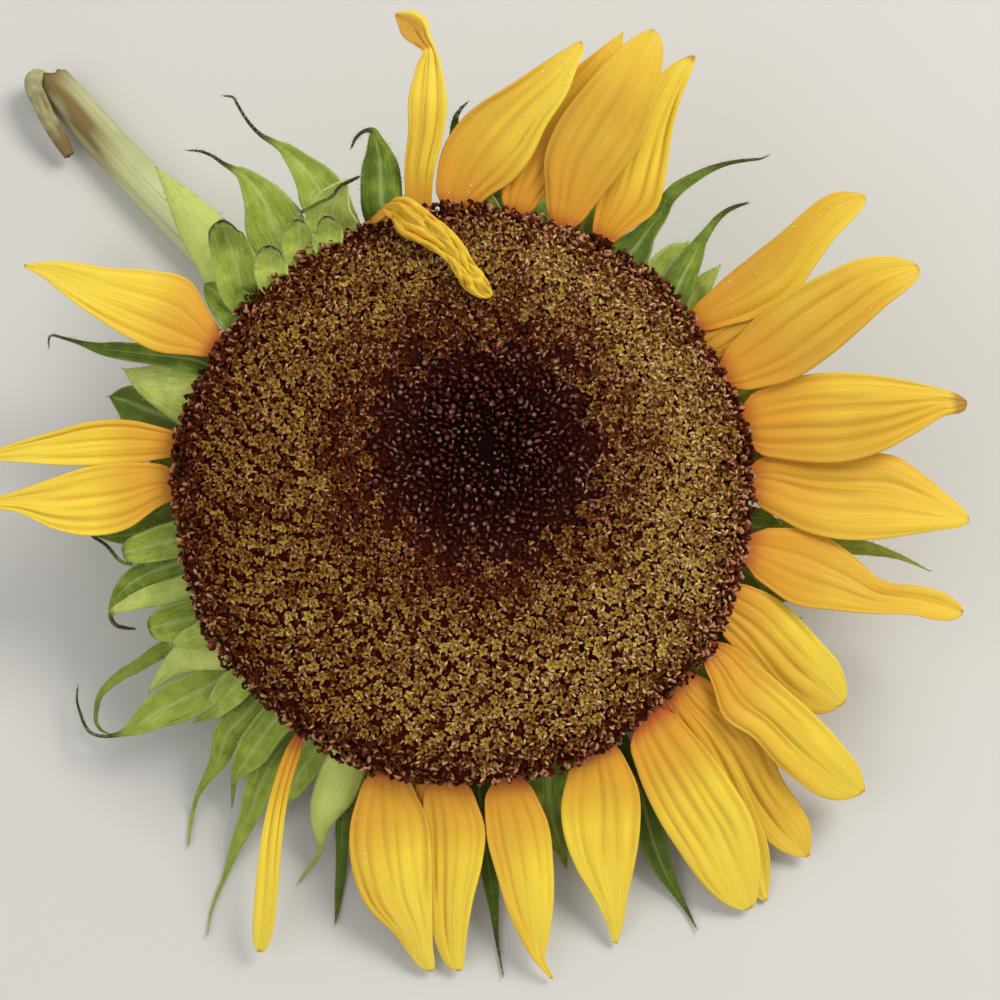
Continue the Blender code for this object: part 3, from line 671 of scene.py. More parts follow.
# points of the middle line (x, y, level) with the half widths on the left and on the right
bentPetals = {
    "wilted": {
        "points": [
            (-20, 62, -9.6, 2.2, 2.2), (-22.5, 68, -9, 2.4, 2.4), (-24, 71.5, -4, 2.4, 2.4),
            (-22.4, 71.3, 2.6, 1.8, 1.8), (-19.2, 73.6, 5, 2.2, 2.4), (-16.4, 73.3, 5.8, 3.3, 4),
            (-13.3, 71, 6, 4.8, 4.4), (-9.9, 68.6, 5.8, 4.1, 4), (-6, 66, 5.6, 3.6, 3.8),
            (-2.1, 62.4, 5.6, 3, 3.2), (0.5, 58.5, 5.4, 3, 2.8), (3.1, 55.4, 5.2, 3.3, 2.8),
            (6, 52.5, 5, 2.2, 1.6), (7.3, 51.2, 5, 0.3, 0.3),
        ],
        "headings": (107.0, 112.0, 143.0, 140.0, 128.0, 132.0),
        "tone": 0.12,
        "alongStart": -0.1,
        "alongRate": 1.4,
        "crumple": 1.6,
        "crumpleFrom": 0.2,
        "foldFrom": 2.0,
    },
    "curled": {
        "points": [
            (-9.8, 63, -9.5, 2.6, 2.6), (-11.7, 75.4, -9.3, 3.4, 3.4), (-11.7, 81.9, -8, 3.8, 3.6),
            (-11.3, 87.1, -6, 4.1, 4.1), (-10.1, 94.9, -3.6, 4.3, 5), (-9.1, 102.7, -1.8, 5.2, 4.9),
            (-8.8, 111.8, -1.2, 3.2, 3.1), (-9.2, 115.6, -0.8, 1.4, 2.1),
            (-10.6, 118.4, -1.1, 2.4, 2.4), (-12.6, 121, -1.2, 3.4, 4.2),
            (-14.8, 123.3, -1.2, 2.8, 3.4), (-17.6, 125.2, -1.2, 0.4, 0.5),
        ],
        "headings": (),
        "tone": 0.22,
        "alongStart": 0.07,
        "alongRate": 1.6,
        "crumple": 0.15,
        "crumpleFrom": 0.3,
        "foldFrom": 0.64,
    },
}


def widthAt(t, widths):
    # a smooth curve through the half widths at the stations
    stations = petals["stations"]
    index = max(i for i, place in enumerate(stations[:-1]) if t >= place)
    before, after = max(index - 1, 0), min(index + 2, len(stations) - 1)
    span = stations[index + 1] - stations[index]
    slopeIn = (widths[index + 1] - widths[before]) / (stations[index + 1] - stations[before])
    slopeOut = (widths[after] - widths[index]) / (stations[after] - stations[index])
    f = (t - stations[index]) / span
    rise = widths[index] * (2 * f**3 - 3 * f * f + 1) + widths[index + 1] * (3 * f * f - 2 * f**3)
    return rise + span * (slopeIn * (f**3 - 2 * f * f + f) + slopeOut * (f**3 - f * f))


def petalEdges(left, right):
    def edges(t):
        blunt = math.sqrt(max(0.0, 1.0 - (max(0.0, t - 0.94) / 0.06) ** 2))
        close = mixed(0.25, 1.0, blunt) * mixed(0.45, 1.0, smoothstep(0.11, 0.21, t))
        return widthAt(t, left) * close, widthAt(t, right) * close
    return edges


def petalSection(draw, count, seed, crumple=0.0, crumpleFrom=0.0):
    # crisp grooves along the petal over a broad, uneven swell; the second value marks the grooves and the
    # troughs of the folds, which the petal colours darken as painted shade
    grooves = []
    for index in range(count):
        place = -1.0 + 2.0 * (index + 0.5 + draw.uniform(-0.28, 0.28)) / count
        breadth, depth = draw.uniform(*petals["grooveWidth"]), draw.uniform(*petals["grooveDepth"])
        grooves.append((place, breadth, depth, draw.uniform(0.6, 1.0)))

    def section(t, s):
        fade = smoothstep(0.1, 0.3, t) * (1.0 - 0.6 * smoothstep(0.85, 1.0, t))
        height = petals["swell"] * noise.noise(Vector((s * 1.5 + 7.0, t * 1.6, seed)))
        height += 0.16 * noise.noise(Vector((s * 9.0, t * 1.4, seed + 3.0)))
        folds = noise.noise(Vector((s * 3.0, t * 14.0, seed + 9.0)))
        folds += 0.5 * noise.noise(Vector((s * 7.0, t * 26.0, seed)))
        folds *= crumple * smoothstep(crumpleFrom, crumpleFrom + 0.06, t)
        mark = max(0.0, -0.9 * folds)
        height += 1.3 * folds
        for place, breadth, depth, length in grooves:
            wander = place + 0.05 * math.sin(5.0 * t + 9.0 * place + seed)
            line = math.exp(-(((s - wander) / breadth) ** 2))
            line *= 1.0 - smoothstep(0.75 * length, length, t)
            height -= depth * line
            mark += depth * line
        return height * fade, min(1.0, 1.4 * mark) * fade
    return section


def dewOn(bm, first, count, draw):
    bm.faces.ensure_lookup_table()
    bm.normal_update()
    places = []
    for face in draw.sample(bm.faces[first:], count):
        spot = face.calc_center_median() + face.normal * petals["dewLift"] * millimetre
        places.append((standOn(spot, face.normal, draw.uniform(*petals["dewSizes"])), 0.0))
    return places


def buildPetals():
    draw = random.Random(3)
    bm = bmesh.new()
    bladeLayers(bm)
    dew = []
    for azimuth, lean, reach, tipLevel, layer, arch, roll, count, tone, side, left, right in petalRows:
        seed = draw.uniform(0.0, 50.0)
        root = polarPoint(azimuth, petals["rootRadius"], petals["level"] + layer * petals["layerRise"])
        corners = bladeCorners(azimuth, lean, reach, root, petals["baseRadius"], tipLevel, arch)
        dry = scorchedTips.get(azimuth, 0.985)
        firstFace = len(bm.faces)
        addBlade(bm, {
            "lengthSteps": petals["lengthSteps"],
            "widthSteps": petals["widthSteps"],
            "finerEnds": 0.07,
            "along": lambda t, s: t,
            "route": lambda t: aboveTable(bezierPoint(corners, t)),
            "heading": lambda t: azimuth + lean * smoothstep(0.1, 0.9, t),
            "roll": lambda t: roll * smoothstep(0.15, 0.5, t),
            "edges": petalEdges((0.6 * left[0], *left), (0.6 * right[0], *right)),
            "narrowest": 0.2,
            "section": petalSection(draw, count, seed, float(azimuth in crumpledTips),
                crumpledTips.get(azimuth, 0.0)),
            # the tone turns to one side across the petal: painted shade on that side
            "tone": lambda t, s: tone + side * s,
            "scorch": lambda t, s: smoothstep(dry, dry + 0.03, t) * 0.75,
        })
        dew += dewOn(bm, firstFace, dewyPetals.get(azimuth, petals["dewCount"]), draw)
    for index, bent in enumerate(bentPetals.values()):
        points = [Vector(point[:3]) for point in bent["points"]]
        lefts, rights = [point[3] for point in bent["points"]], [point[4] for point in bent["points"]]
        route = lambda t: routePoint(points, t)
        heading = routeHeading(route)
        if bent["headings"]:
            heading = lambda t: routePoint(bent["headings"], t)
        fold = bent["foldFrom"]
        # where the back shows
        turned = lambda t, s: smoothstep(fold, fold + 0.03, t) * smoothstep(-0.6, -0.4, s)
        addBlade(bm, {
            "lengthSteps": petals["bentSteps"][0],
            "widthSteps": petals["bentSteps"][1],
            "finerEnds": 0.0,
            "along": lambda t, s: mixed(bent["alongStart"] + bent["alongRate"] * t, 0.45, turned(t, s)),
            "route": route,
            "heading": heading,
            "roll": lambda t: 0.0,
            "edges": lambda t: (routePoint(lefts, t), routePoint(rights, t)),
            "narrowest": 0.2,
            "section": petalSection(draw, 5, 11.0 + index, bent["crumple"], bent["crumpleFrom"]),
            # the tone also turns across the petal by 0.3 of s: painted shade on one side
            "tone": lambda t, s: bent["tone"] + 0.3 * s + turned(t, s),
            "scorch": lambda t, s: 0.3 * turned(t, s) + 0.35 * bent["crumple"] * smoothstep(0.75, 1.0, s),
        })
    piece = finishPiece("rayPetals", bm, [yellowFace, yellowBack], ("ray_petals",))
    solidifyPiece(piece, petals["thickness"], 1)
    scatter("dewDrops", dew, templateMesh(dropShape), dewFace, smooth=True)


buildPetals()
print("ray petals made")


# the receptacle and its bracts

bracts = {
    "roots": [(66.0, -15.5), (63.0, -19.0), (56.0, -24.0)],  # radius and level where each row grows
    "rootDrop": 2.0,
    "rootSpacing": 6.0,
    "thickness": 0.5,
    "stepsPerPoint": 4,
    "widthSteps": 12,
    "hairs": 6.0,  # for each millimetre of a bract's length
    "hairLengths": (0.6, 1.5),
    # azimuth and row of each bract that can't be seen from above
    "hidden": [(-66, 2), (-36, 2), (-27, 1), (-16, 2), (6, 2), (20, 1), (31, 2), (66, 2), (82, 1),
        (150, 2), (172, 2), (186, 1)],
    "hiddenLean": 8.0,
    "hiddenRadii": (73.0, 93.0),
    "hiddenWidths": {0.0: 13, 0.35: 12, 0.7: 7, 1.0: 0.6},
    # azimuth, then the foot's azimuth, radius and width
    "props": [(20, 27, 92, 14), (74, 68, 92, 13)],
    "propWidths": (0.8, 1.0, 1.0, 0.8, 0.55, 0.3),  # shares of that width
}

# row, levels at the disc's edge and at the tip, cup, tone, dark rim, dark tail,
# then the middle line's points as seen from above the disc, each with the bract's width
bractRows = [
    (1, -11, -1, 0.22, 0.5, 0, 1, [(-36.5, 77.8, 12.6), (-38.9, 81.9, 10), (-42.2, 85.8, 6.5),
        (-45.6, 89.3, 3.8), (-48.4, 91.2, 1.9), (-52.8, 93.8, 1), (-56.2, 97.5, 0.7), (-58.6, 101.4, 0.6),
        (-59.8, 103.4, 0.5), (-62.1, 103.8, 0.3)]),
    (2, -14, -4, 0.2, 0.5, 0, 1, [(-45.6, 65, 15), (-47.6, 67.2, 15.4), (-49.3, 71.1, 15.5),
        (-51.5, 75.8, 12), (-54.1, 79.7, 7.9), (-57.1, 83.2, 3.9), (-59.7, 84.7, 1.7), (-62.3, 86.2, 1),
        (-65.3, 88.2, 0.7), (-68.4, 89.4, 0.6), (-71.4, 89.6, 0.3)]),
    (1, -9, 1, -0.35, 0.1, 0, 1, [(-21.1, 75, 10.8), (-21.4, 81, 10.7), (-21.6, 85.4, 9.6),
        (-22, 88.8, 6.9), (-22.7, 91.9, 4.2), (-23.3, 94.5, 1.8), (-25, 94.8, 0.9), (-26.8, 93.9, 0.7),
        (-28.1, 92.4, 0.6), (-29, 90.4, 0.3)]),
    (1, -9, 0, 0.4, 0.45, 1, 0, [(-57.3, 53.3, 11.7), (-58.6, 58, 11.6), (-59.8, 62.5, 11),
        (-61.2, 66.3, 9.8), (-62, 68.8, 8.6), (-62.4, 70.6, 6), (-62.6, 71.7, 1)]),
    (0, -7, 1, 0.3, 0.8, 0, 0, [(-34, 66, 14), (-34, 71, 14.5), (-33.5, 75.5, 11), (-31.6, 79.5, 5),
        (-30.2, 81.6, 1)]),
    (0, -3, 1, 0.3, 0.6, 0.8, 0, [(-35.2, 65.3, 8), (-34.9, 68.2, 7.6), (-34.9, 70.4, 6.4),
        (-35, 71.8, 4.4), (-35, 72.7, 1)]),
    (0, -4, 0, 0.3, 0.55, 0.5, 0, [(-42, 61.5, 9), (-42.6, 65, 9.2), (-42.8, 68, 8.2), (-42.7, 70.4, 5.8),
        (-42.6, 71.8, 1)]),
    (0, -3, 1, 0.35, 0.65, 0.9, 0, [(-49.5, 56.5, 8.5), (-49.8, 59.5, 8.6), (-50, 62, 7.8),
        (-50, 63.9, 5.6), (-50, 65, 1)]),
    (0, -1, 3, 0, 0.0, 1, 1, [(-42.2, 73.4, 0.9), (-37.7, 75.9, 0.8), (-34.1, 77.6, 0.8),
        (-32, 80.3, 0.8), (-29.4, 81.6, 0.9), (-26.8, 82.9, 0.6)]),
    (0, -8, -10, 0.1, 0.15, 0, 0, [(-56.7, 46, 12), (-60, 49, 11), (-63.6, 52, 8), (-67.1, 54.8, 2)]),
    (2, -30, -58, -0.3, 1.0, 0, 0, [(-56, 52, 14), (-60, 58, 16), (-64.5, 64.5, 15), (-69, 70.5, 12.5),
        (-73, 76, 8.5), (-77, 81.5, 3.5), (-79.5, 84.8, 0.6)]),
    (1, -12, -9, 0.1, 0.1, 0, 0.8, [(-68.8, 34.8, 7), (-75.7, 36, 6), (-83.3, 36.8, 5),
        (-90.1, 37.6, 4.2), (-94.7, 38.2, 2.8), (-99.3, 39.5, 1.3), (-103.1, 40.6, 0.8),
        (-106.7, 41.5, 0.6), (-107.7, 40.6, 0.5), (-107.7, 38.5, 0.3)]),
    (0, -13, -17, -0.25, 0.75, 0, 0,
        [(-67.5, 25.5, 17), (-71.5, 26.6, 18), (-77.6, 28.3, 13), (-83.3, 30.2, 7.6), (-88, 32.6, 0.6)]),
    (2, -20, -26, 0.1, -0.1, 0, 0, [(-69, 17.5, 13), (-76, 20, 13.5), (-83, 22.5, 13), (-88, 24.6, 8),
        (-92, 25.6, 0.6)]),
    (2, -20, -26, 0.1, 0.0, 0, 0.3, [(-72, -6, 9), (-79, -8.5, 8), (-87, -10.5, 5), (-93, -10.6, 2),
        (-98, -9.4, 0.5)]),
    (0, -13, -14, 0.3, 0.45, 0.3, 0,
        [(-73, -11.2, 9.5), (-77.5, -12.3, 9.2), (-81.5, -13.4, 8.3), (-85.5, -14.4, 7),
        (-88.5, -15, 4)]),
    (1, -14, -12, 0, 0.0, 1, 1, [(-86, -18, 1), (-89.2, -17.1, 0.9), (-92.8, -13, 0.9),
        (-96.9, -10.4, 0.8)]),
    (1, -16, -20, 0.15, 0.15, 0, 0, [(-71.5, -17.1, 11), (-79.8, -19.6, 8.5), (-86.9, -23.3, 5.6),
        (-90.6, -27.9, 2.6), (-91.9, -31, 0.6)]),
    (0, -14, -20, -0.3, 0.85, 0, 1, [(-69, -23.8, 8), (-75.7, -25.2, 7), (-82.3, -26.7, 5.4),
        (-87.3, -28.5, 3.5), (-91, -30.3, 1.6), (-91.5, -31.9, 1), (-90.4, -33.7, 0.9),
        (-88.1, -34.5, 0.8), (-85.2, -34.8, 0.4)]),
    (0, -13, -15, 0.3, 0.3, 0.3, 0, [(-63.2, -29.9, 10.5), (-69.4, -31.7, 10), (-75.7, -33.3, 9.6),
        (-79.5, -34.2, 7.5), (-81.7, -34.8, 4)]),
    (0, -9, -12, 0.2, 0.6, 0, 0, [(-64, -34, 8), (-68, -36.5, 7), (-72.5, -37.6, 4.5),
        (-75.5, -38.5, 1)]),
    (2, -24, -34, 0.1, 0.35, 0, 0.4,
        [(-71, -37, 6), (-79, -40.8, 4.2), (-82.3, -42.9, 3.7), (-85.6, -45, 3.2), (-89, -46.9, 2.7),
        (-92.3, -49.6, 2.2), (-94.6, -52.5, 1.6), (-95.4, -56.2, 1.2), (-95.4, -59.1, 1),
        (-94, -61.2, 0.8), (-91.9, -62.1, 0.4)]),
    (0, -13, -24, -0.25, 1.0, 0, 0, [(-61.5, -40, 11), (-68.2, -41, 9.5), (-73.2, -42.9, 8),
        (-77.4, -46.4, 4.4), (-81.5, -50.9, 0.6)]),
    (1, -18, -34, 0.2, 0.5, 0, 1, [(-59.9, -45.4, 10), (-67.3, -50.4, 10.8), (-74, -53.7, 11),
        (-79.8, -56.6, 8.6), (-84.8, -60, 5), (-88.6, -61.9, 1.8), (-92.3, -62.7, 0.9),
        (-95.2, -62.5, 0.8), (-97.3, -61.4, 0.8), (-98.5, -59.5, 0.7), (-99.6, -56.6, 0.6),
        (-100.4, -53.3, 0.5), (-100.2, -49.9, 0.3)]),
    (0, -12, -24, 0.3, 0.55, 0, 0, [(-55.3, -45.4, 8), (-59.9, -50.4, 8.4), (-64, -55, 5.4),
        (-67.2, -57.4, 2.6), (-69.8, -59, 0.6)]),
    (1, -17, -34, -0.25, 0.4, 0, 0, [(-51.5, -51.1, 10), (-57.1, -57.6, 8.6), (-61.4, -62.4, 7.6),
        (-63.6, -68.9, 5), (-66.2, -73.2, 2.7), (-68.8, -77.6, 1.2), (-70.1, -81.9, 0.9),
        (-70.5, -85.8, 0.6), (-70.7, -90, 0.4)]),
    (0, -12, -28, 0.25, 0.4, 0, 0.2,
        [(-45, -54.6, 10), (-50.2, -60.2, 9), (-54.5, -66.3, 8.8), (-57.5, -70.6, 5), (-59.5, -74.1, 1.7),
        (-59.8, -77.6, 0.9), (-60.1, -81, 0.4)]),
    (2, -23, -31, 0.15, 0.45, 0, 0, [(-48.4, -67.1, 9), (-52.8, -75.8, 8), (-55.4, -82.8, 5.4),
        (-58, -88.8, 3.7), (-60.1, -94, 2.2), (-61.9, -99.2, 1), (-63.6, -103.6, 0.7),
        (-64.8, -107.9, 0.5), (-65.3, -112.2, 0.3)]),
    (1, -17, -28, 0.25, 0.5, 0, 0, [(-36.7, -62.8, 9), (-40.2, -68.9, 8.6), (-44.1, -75, 6.8),
        (-48, -81.5, 1.6), (-49, -84, 0.5)]),
    (0, -11, -27, -0.38, 1.0, 0, 0.3,
        [(-28.6, -64, 7.4), (-30.6, -70.6, 11), (-33.2, -76.7, 11.4), (-35.8, -81.9, 9),
        (-37, -86.2, 5.2), (-36.9, -89.7, 2.2), (-37.4, -92.7, 1.3), (-38.7, -95.3, 0.9),
        (-40.6, -97.9, 0.7), (-42, -100, 0.4)]),
    (2, -22, -29, -0.2, -0.1, 0, 0.3,
        [(-28.1, -74.1, 5), (-31.1, -84.1, 4), (-31.5, -92.7, 3.2), (-32, -101.4, 2.2),
        (-32.7, -110, 0.5)]),
    (1, -14, -22, 0.2, 0.3, 0, 0, [(-9.1, -68.9, 9), (-10.8, -75, 8), (-12.5, -80.5, 2)]),
    (2, -19, -22, 0.1, -0.1, 0, 0.6,
        [(3.9, -71.5, 10), (5.2, -87.1, 7.4), (6.8, -97.5, 4.8), (8.1, -107.9, 2.4), (8.8, -115.7, 0.9),
        (10.4, -124, 0.4)]),
    (1, -15, -25, 0.2, 0.2, 0, 0.2, [(22.1, -69, 11), (22.4, -79.3, 12), (24, -87.1, 8.4),
        (25.7, -92.6, 3), (26.8, -97, 0.6)]),
    (2, -21, -26, 0.1, -0.1, 0, 0.6,
        [(46, -76.7, 10), (48.6, -87.1, 8), (51.7, -96.2, 5.5), (55.1, -102.7, 2.6), (58.2, -107.9, 1),
        (60.3, -111.8, 0.4)]),
    (1, -14, -16, 0.2, 0.0, 0, 0, [(70.7, -5.7, 6), (77.2, -6, 5), (82, -7.2, 0.8)]),
    (2, -20, -24, 0.1, 0.55, 0, 0.2,
        [(76, -9, 8), (87.6, -10.4, 6), (96.7, -12.5, 5.4), (105.8, -14, 3.5), (113.6, -16.1, 1.5),
        (120.9, -19.5, 0.4)]),
    (1, -14, -17, 0.2, -0.1, 0, 0, [(69, -20.4, 7), (73.5, -22.8, 5), (77.5, -25, 0.8)]),
    (1, -12, -6, 0.15, 0.05, 0, 0.8,
        [(41.1, 59.8, 12), (44.9, 64.4, 9), (47.6, 68.2, 5.4), (51.4, 73.2, 3.9), (52.9, 76.6, 3.7),
        (55.6, 79.6, 3.5), (59.4, 82.1, 2.7), (64, 84.6, 1.8), (68.6, 86.2, 1.1), (73.1, 87, 0.8),
        (77.1, 87.4, 0.5), (79, 88.1, 0.3)]),
    (0, -9, -4, -0.3, 0.15, 0, 0.9, [(54.8, 51.8, 8), (57.1, 56.8, 7.4), (59.8, 62.1, 5.6),
        (61.5, 65.5, 3.3), (63.6, 68.6, 2.2), (65.9, 71.6, 1.6), (68.6, 73.9, 1.1), (71.2, 75.1, 0.8),
        (73.9, 75.9, 0.4)]),
    (1, -13, -9, 0.25, 0.65, 0, 0, [(50.3, 54.5, 11), (53.3, 59, 9.8), (56.3, 62.9, 7),
        (58.4, 65.6, 1.5)]),
    (1, -15, -12, 0.2, 0.6, 0, 0, [(57.5, 47.5, 8), (60, 51.8, 7), (62.6, 55, 5), (66.5, 59.3, 0.8)]),
    (1, -12, -9, 0.2, 0.3, 0, 0, [(6.8, 70, 8), (6.2, 75.4, 6), (5.5, 79.5, 1.5)]),
    (2, -14, -2, 0.1, 0.0, 0, 1, [(-1.2, 80, 8), (-1.8, 90, 4.5), (-2.1, 97, 1.8), (-0.9, 100, 0.9),
        (1, 102, 0.5)]),
]


def bractSection(cup, widths, seed):
    def section(t, s):
        half = 0.5 * routePoint(widths, t)
        broad = smoothstep(0.6, 3.0, half)
        keel = -0.3 * math.exp(-((s / 0.13) ** 2)) * (1.0 - smoothstep(0.7, 0.95, t))
        veins = 0.1 * math.cos(8.0 * math.pi * s)
        wrinkles = 0.5 * noise.noise(Vector((t * 5.0, s * 1.6, seed)))
        wrinkles += 0.22 * noise.noise(Vector((t * 16.0, s * 3.0, seed)))
        line = math.exp(-((s / 0.1) ** 2)) + 0.5 * smoothstep(0.86, 1.0, abs(s))
        return cup * half * s * s + (keel + veins + wrinkles) * broad, min(1.0, line) * broad
    return section


def addBract(bm, points, widths, look, draw, hairs, eased, azimuth=None):
    cup, tone, rim, dark = look
    first = len(bm.verts)

    def route(t):
        point = routePoint(points, t)
        return aboveTable(point) if eased else point

    def edges(t):
        close = mixed(0.2, 1.0, math.sqrt(max(0.0, 1.0 - (max(0.0, t - 0.9) / 0.1) ** 2)))
        half = 0.5 * max(0.0, routePoint(widths, t)) * close
        return half, half

    def scorch(t, s):
        tail = dark * smoothstep(2.2, 0.8, routePoint(widths, t)) * smoothstep(0.3, 0.6, t)
        edge = smoothstep(0.8, 1.0, abs(s)) * smoothstep(0.6, 0.9, t)
        return tail + rim * (smoothstep(0.88, 0.96, t) + edge)

    addBlade(bm, {
        "lengthSteps": bracts["stepsPerPoint"] * (len(points) - 1),
        "widthSteps": bracts["widthSteps"],
        "finerEnds": 0.0,
        "along": lambda t, s: t,
        "route": route,
        "heading": routeHeading(route) if azimuth is None else lambda t: azimuth,
        "roll": lambda t: 0.0,
        "edges": edges,
        "narrowest": 0.12,
        "section": bractSection(cup, widths, draw.uniform(0.0, 60.0)),
        # darker towards the base: painted shade under the head
        "tone": lambda t, s: tone + 0.25 * t - 0.1,
        "scorch": scorch,
    })
    length = sum((b - a).length for a, b in zip(points, points[1:]))
    hairs += growHairs(bm, first, int(bracts["hairs"] * length), bracts["hairLengths"], draw)


def hiddenRows(draw):
    widths = bracts["hiddenWidths"]
    for azimuth, row in bracts["hidden"]:
        lean = draw.uniform(-bracts["hiddenLean"], bracts["hiddenLean"])
        line = [polarPoint(azimuth + lean * share, mixed(*bracts["hiddenRadii"], share), 0.0)
            for share in widths]
        yield row, -21, -26, 0.2, 0.1, 0, 0.3, line, list(widths.values())


def rootedRoute(row, first, last, rim, line, widths):
    # the line set at its levels, and led back to where its row grows
    points = []
    for index, point in enumerate(line):
        share = index / (len(line) - 1)
        level = mixed(first, last, smoothstep(0.0, 1.0, share))
        level += 1.5 * rim * smoothstep(0.6, 1.0, share)
        points.append(seenAt(point.x, point.y, level))
    if widths[0] > 2.0:
        radius, level = bracts["roots"][row]
        root = points[0].xy.normalized().to_3d() * radius
        root.z = min(level, first - bracts["rootDrop"])
        count = max(2, round((points[0] - root).length / bracts["rootSpacing"]))
        points[:0] = [root.lerp(points[0], step / count) for step in range(count)]
        widths = [mixed(0.8, 1.0, step / count) * widths[0] for step in range(count)] + widths
    return points, widths


def buildBracts():
    draw = random.Random(11)
    bm = bmesh.new()
    bladeLayers(bm)
    hairs = []
    rows = [(*look, [seenAt(x, y, 0.0) for x, y, width in line], [width for x, y, width in line])
        for *look, line in bractRows]
    rows.extend(hiddenRows(draw))
    for row, first, last, cup, tone, rim, dark, line, widths in rows:
        points, widths = rootedRoute(row, first, last, rim, line, widths)
        addBract(bm, points, widths, (cup, tone, rim, dark), draw, hairs, True)
    rootRadius, rootLevel = bracts["roots"][2]
    for azimuth, footAzimuth, footRadius, width in bracts["props"]:
        foot = polarPoint(footAzimuth, footRadius, 0.0)
        foot.z -= ((headTurn @ foot + head["centre"]).z - 0.5) / math.cos(head["lean"])
        corners = [polarPoint(azimuth, rootRadius, rootLevel), polarPoint(azimuth, footRadius, rootLevel),
            foot + Vector((0.0, 0.0, 0.45 * (rootLevel - foot.z))), foot]
        widths = [share * width for share in bracts["propWidths"]] + [1.0]
        points = [bezierPoint(corners, step / 6) for step in range(7)]
        addBract(bm, points, widths, (0.1, 0.3, 0, 0.3), draw, hairs, False, azimuth)
    piece = finishPiece("bracts", bm, [bractFace], ("receptacle_bracts",))
    solidifyPiece(piece, bracts["thickness"], 0)
    scatter("bractHairs", hairs, templateMesh(hairShape), hairFace)


receptacle = {
    "profile": [(0.0, -12.8), (69.0, -12.8), (72.0, -15.0), (71.0, -20.0), (62.0, -25.0),
        (44.0, -29.0), (24.0, -31.5), (13.5, -33.5), (11.0, -36.0), (0.0, -36.0)],
    "steps": 96,
    "lumpsBelow": -14.0,
    "lumpDepth": 0.6,
    "lumpScale": 0.12,
}


def buildReceptacle():
    bm = bmesh.new()
    spinProfile(bm, receptacle["profile"], receptacle["steps"])
    steep = [edge for edge in bm.edges if abs(edge.verts[0].co.z - edge.verts[1].co.z) > 1.5]
    bmesh.ops.subdivide_edges(bm, edges=steep, cuts=2)
    for vert in bm.verts:
        lump = noise.noise(vert.co * receptacle["lumpScale"]) * receptacle["lumpDepth"]
        if vert.co.z < receptacle["lumpsBelow"]:
            vert.co += Vector((vert.co.x, vert.co.y, 0.0)).normalized() * lump
    bm.transform(headMatrix)
    finishPiece("receptacle", bm, [receptacleFace], ("receptacle_bracts",))


buildBracts()
buildReceptacle()
print("bracts made")


# the disc: a dark bed, closed buds in the middle, open florets and a fringe round the edge

disc = {
    "bedSteps": 120,
    "bedRings": range(5, 75, 5),
    "bedSide": [(74.6, -3.4), (73.6, -6.2), (59.7, -6.2), (59.7, -12.5), (0.0, -12.5)],
    "bedDrop": 0.9,
    "dome": 3.0,
    "edgeFall": 3.4,
    "spiralCentre": Vector((6.0, 12.0)),
    "hollowDepth": 3.2,
    "hollowWidth": 17.0,
    "hole": (2.3, 3.3),  # the small bare place in the middle
    "budZone": 32.0,
    "budPitch": 1.75,
    "floretPitch": 2.95,
    "floretEdge": 73.0,
    "scatter": 0.6,
    "fringeCount": 1700,
    "fringeBand": (70.0, 75.7),
}
goldenAngle = math.pi * (3.0 - math.sqrt(5.0))


def discLevel(x, y):
    share = min(1.0, math.hypot(x, y) / head["discRadius"])
    dome = disc["dome"] * (1.0 - share * share) - disc["edgeFall"] * smoothstep(0.86, 1.0, share)
    away = math.hypot(x - disc["spiralCentre"].x, y - disc["spiralCentre"].y)
    return dome - disc["hollowDepth"] * math.exp(-((away / disc["hollowWidth"]) ** 2))


def spiralPlaces(pitch, outer):
    # places on the sunflower's spirals, which open from beside the middle to the round edge
    count = int((outer / pitch) ** 2 * math.pi / 0.866)
    for index in range(count):
        share = math.sqrt((index + 0.5) / count)
        angle = goldenAngle * index
        x = math.cos(angle) * outer * share + disc["spiralCentre"].x * (1.0 - share * share)
        y = math.sin(angle) * outer * share + disc["spiralCentre"].y * (1.0 - share * share)
        yield x, y


def buildBed():
    bm = bmesh.new()
    tone = bm.verts.layers.float.new("tone")
    face = [(0.0, 0.0)] + [(radius, 0.0) for radius in disc["bedRings"]]
    spinProfile(bm, face + disc["bedSide"], disc["bedSteps"])
    for vert in bm.verts:
        away = math.hypot(vert.co.x - disc["spiralCentre"].x, vert.co.y - disc["spiralCentre"].y)
        vert[tone] = smoothstep(8.0, 45.0, away)
        if vert.co.z > -1.0:
            vert.co.z = discLevel(vert.co.x, vert.co.y) - disc["bedDrop"]
    bm.transform(headMatrix)
    finishPiece("discBed", bm, [floretFaces["discBedMaroon"]], ("disc_florets",))


def setDown(x, y, level, size, turn, tiltAxis, tilt):
    axis = Vector((math.cos(tiltAxis), math.sin(tiltAxis), 0.0))
    place = Matrix.Translation((x, y, level)) @ Matrix.Rotation(tilt, 4, axis)
    return headMatrix @ place @ Matrix.Rotation(turn, 4, "Z") @ Matrix.Scale(size, 4)


def outwards(x, y):
    return math.atan2(y - 0.2 * disc["spiralCentre"].y, x - 0.2 * disc["spiralCentre"].x)


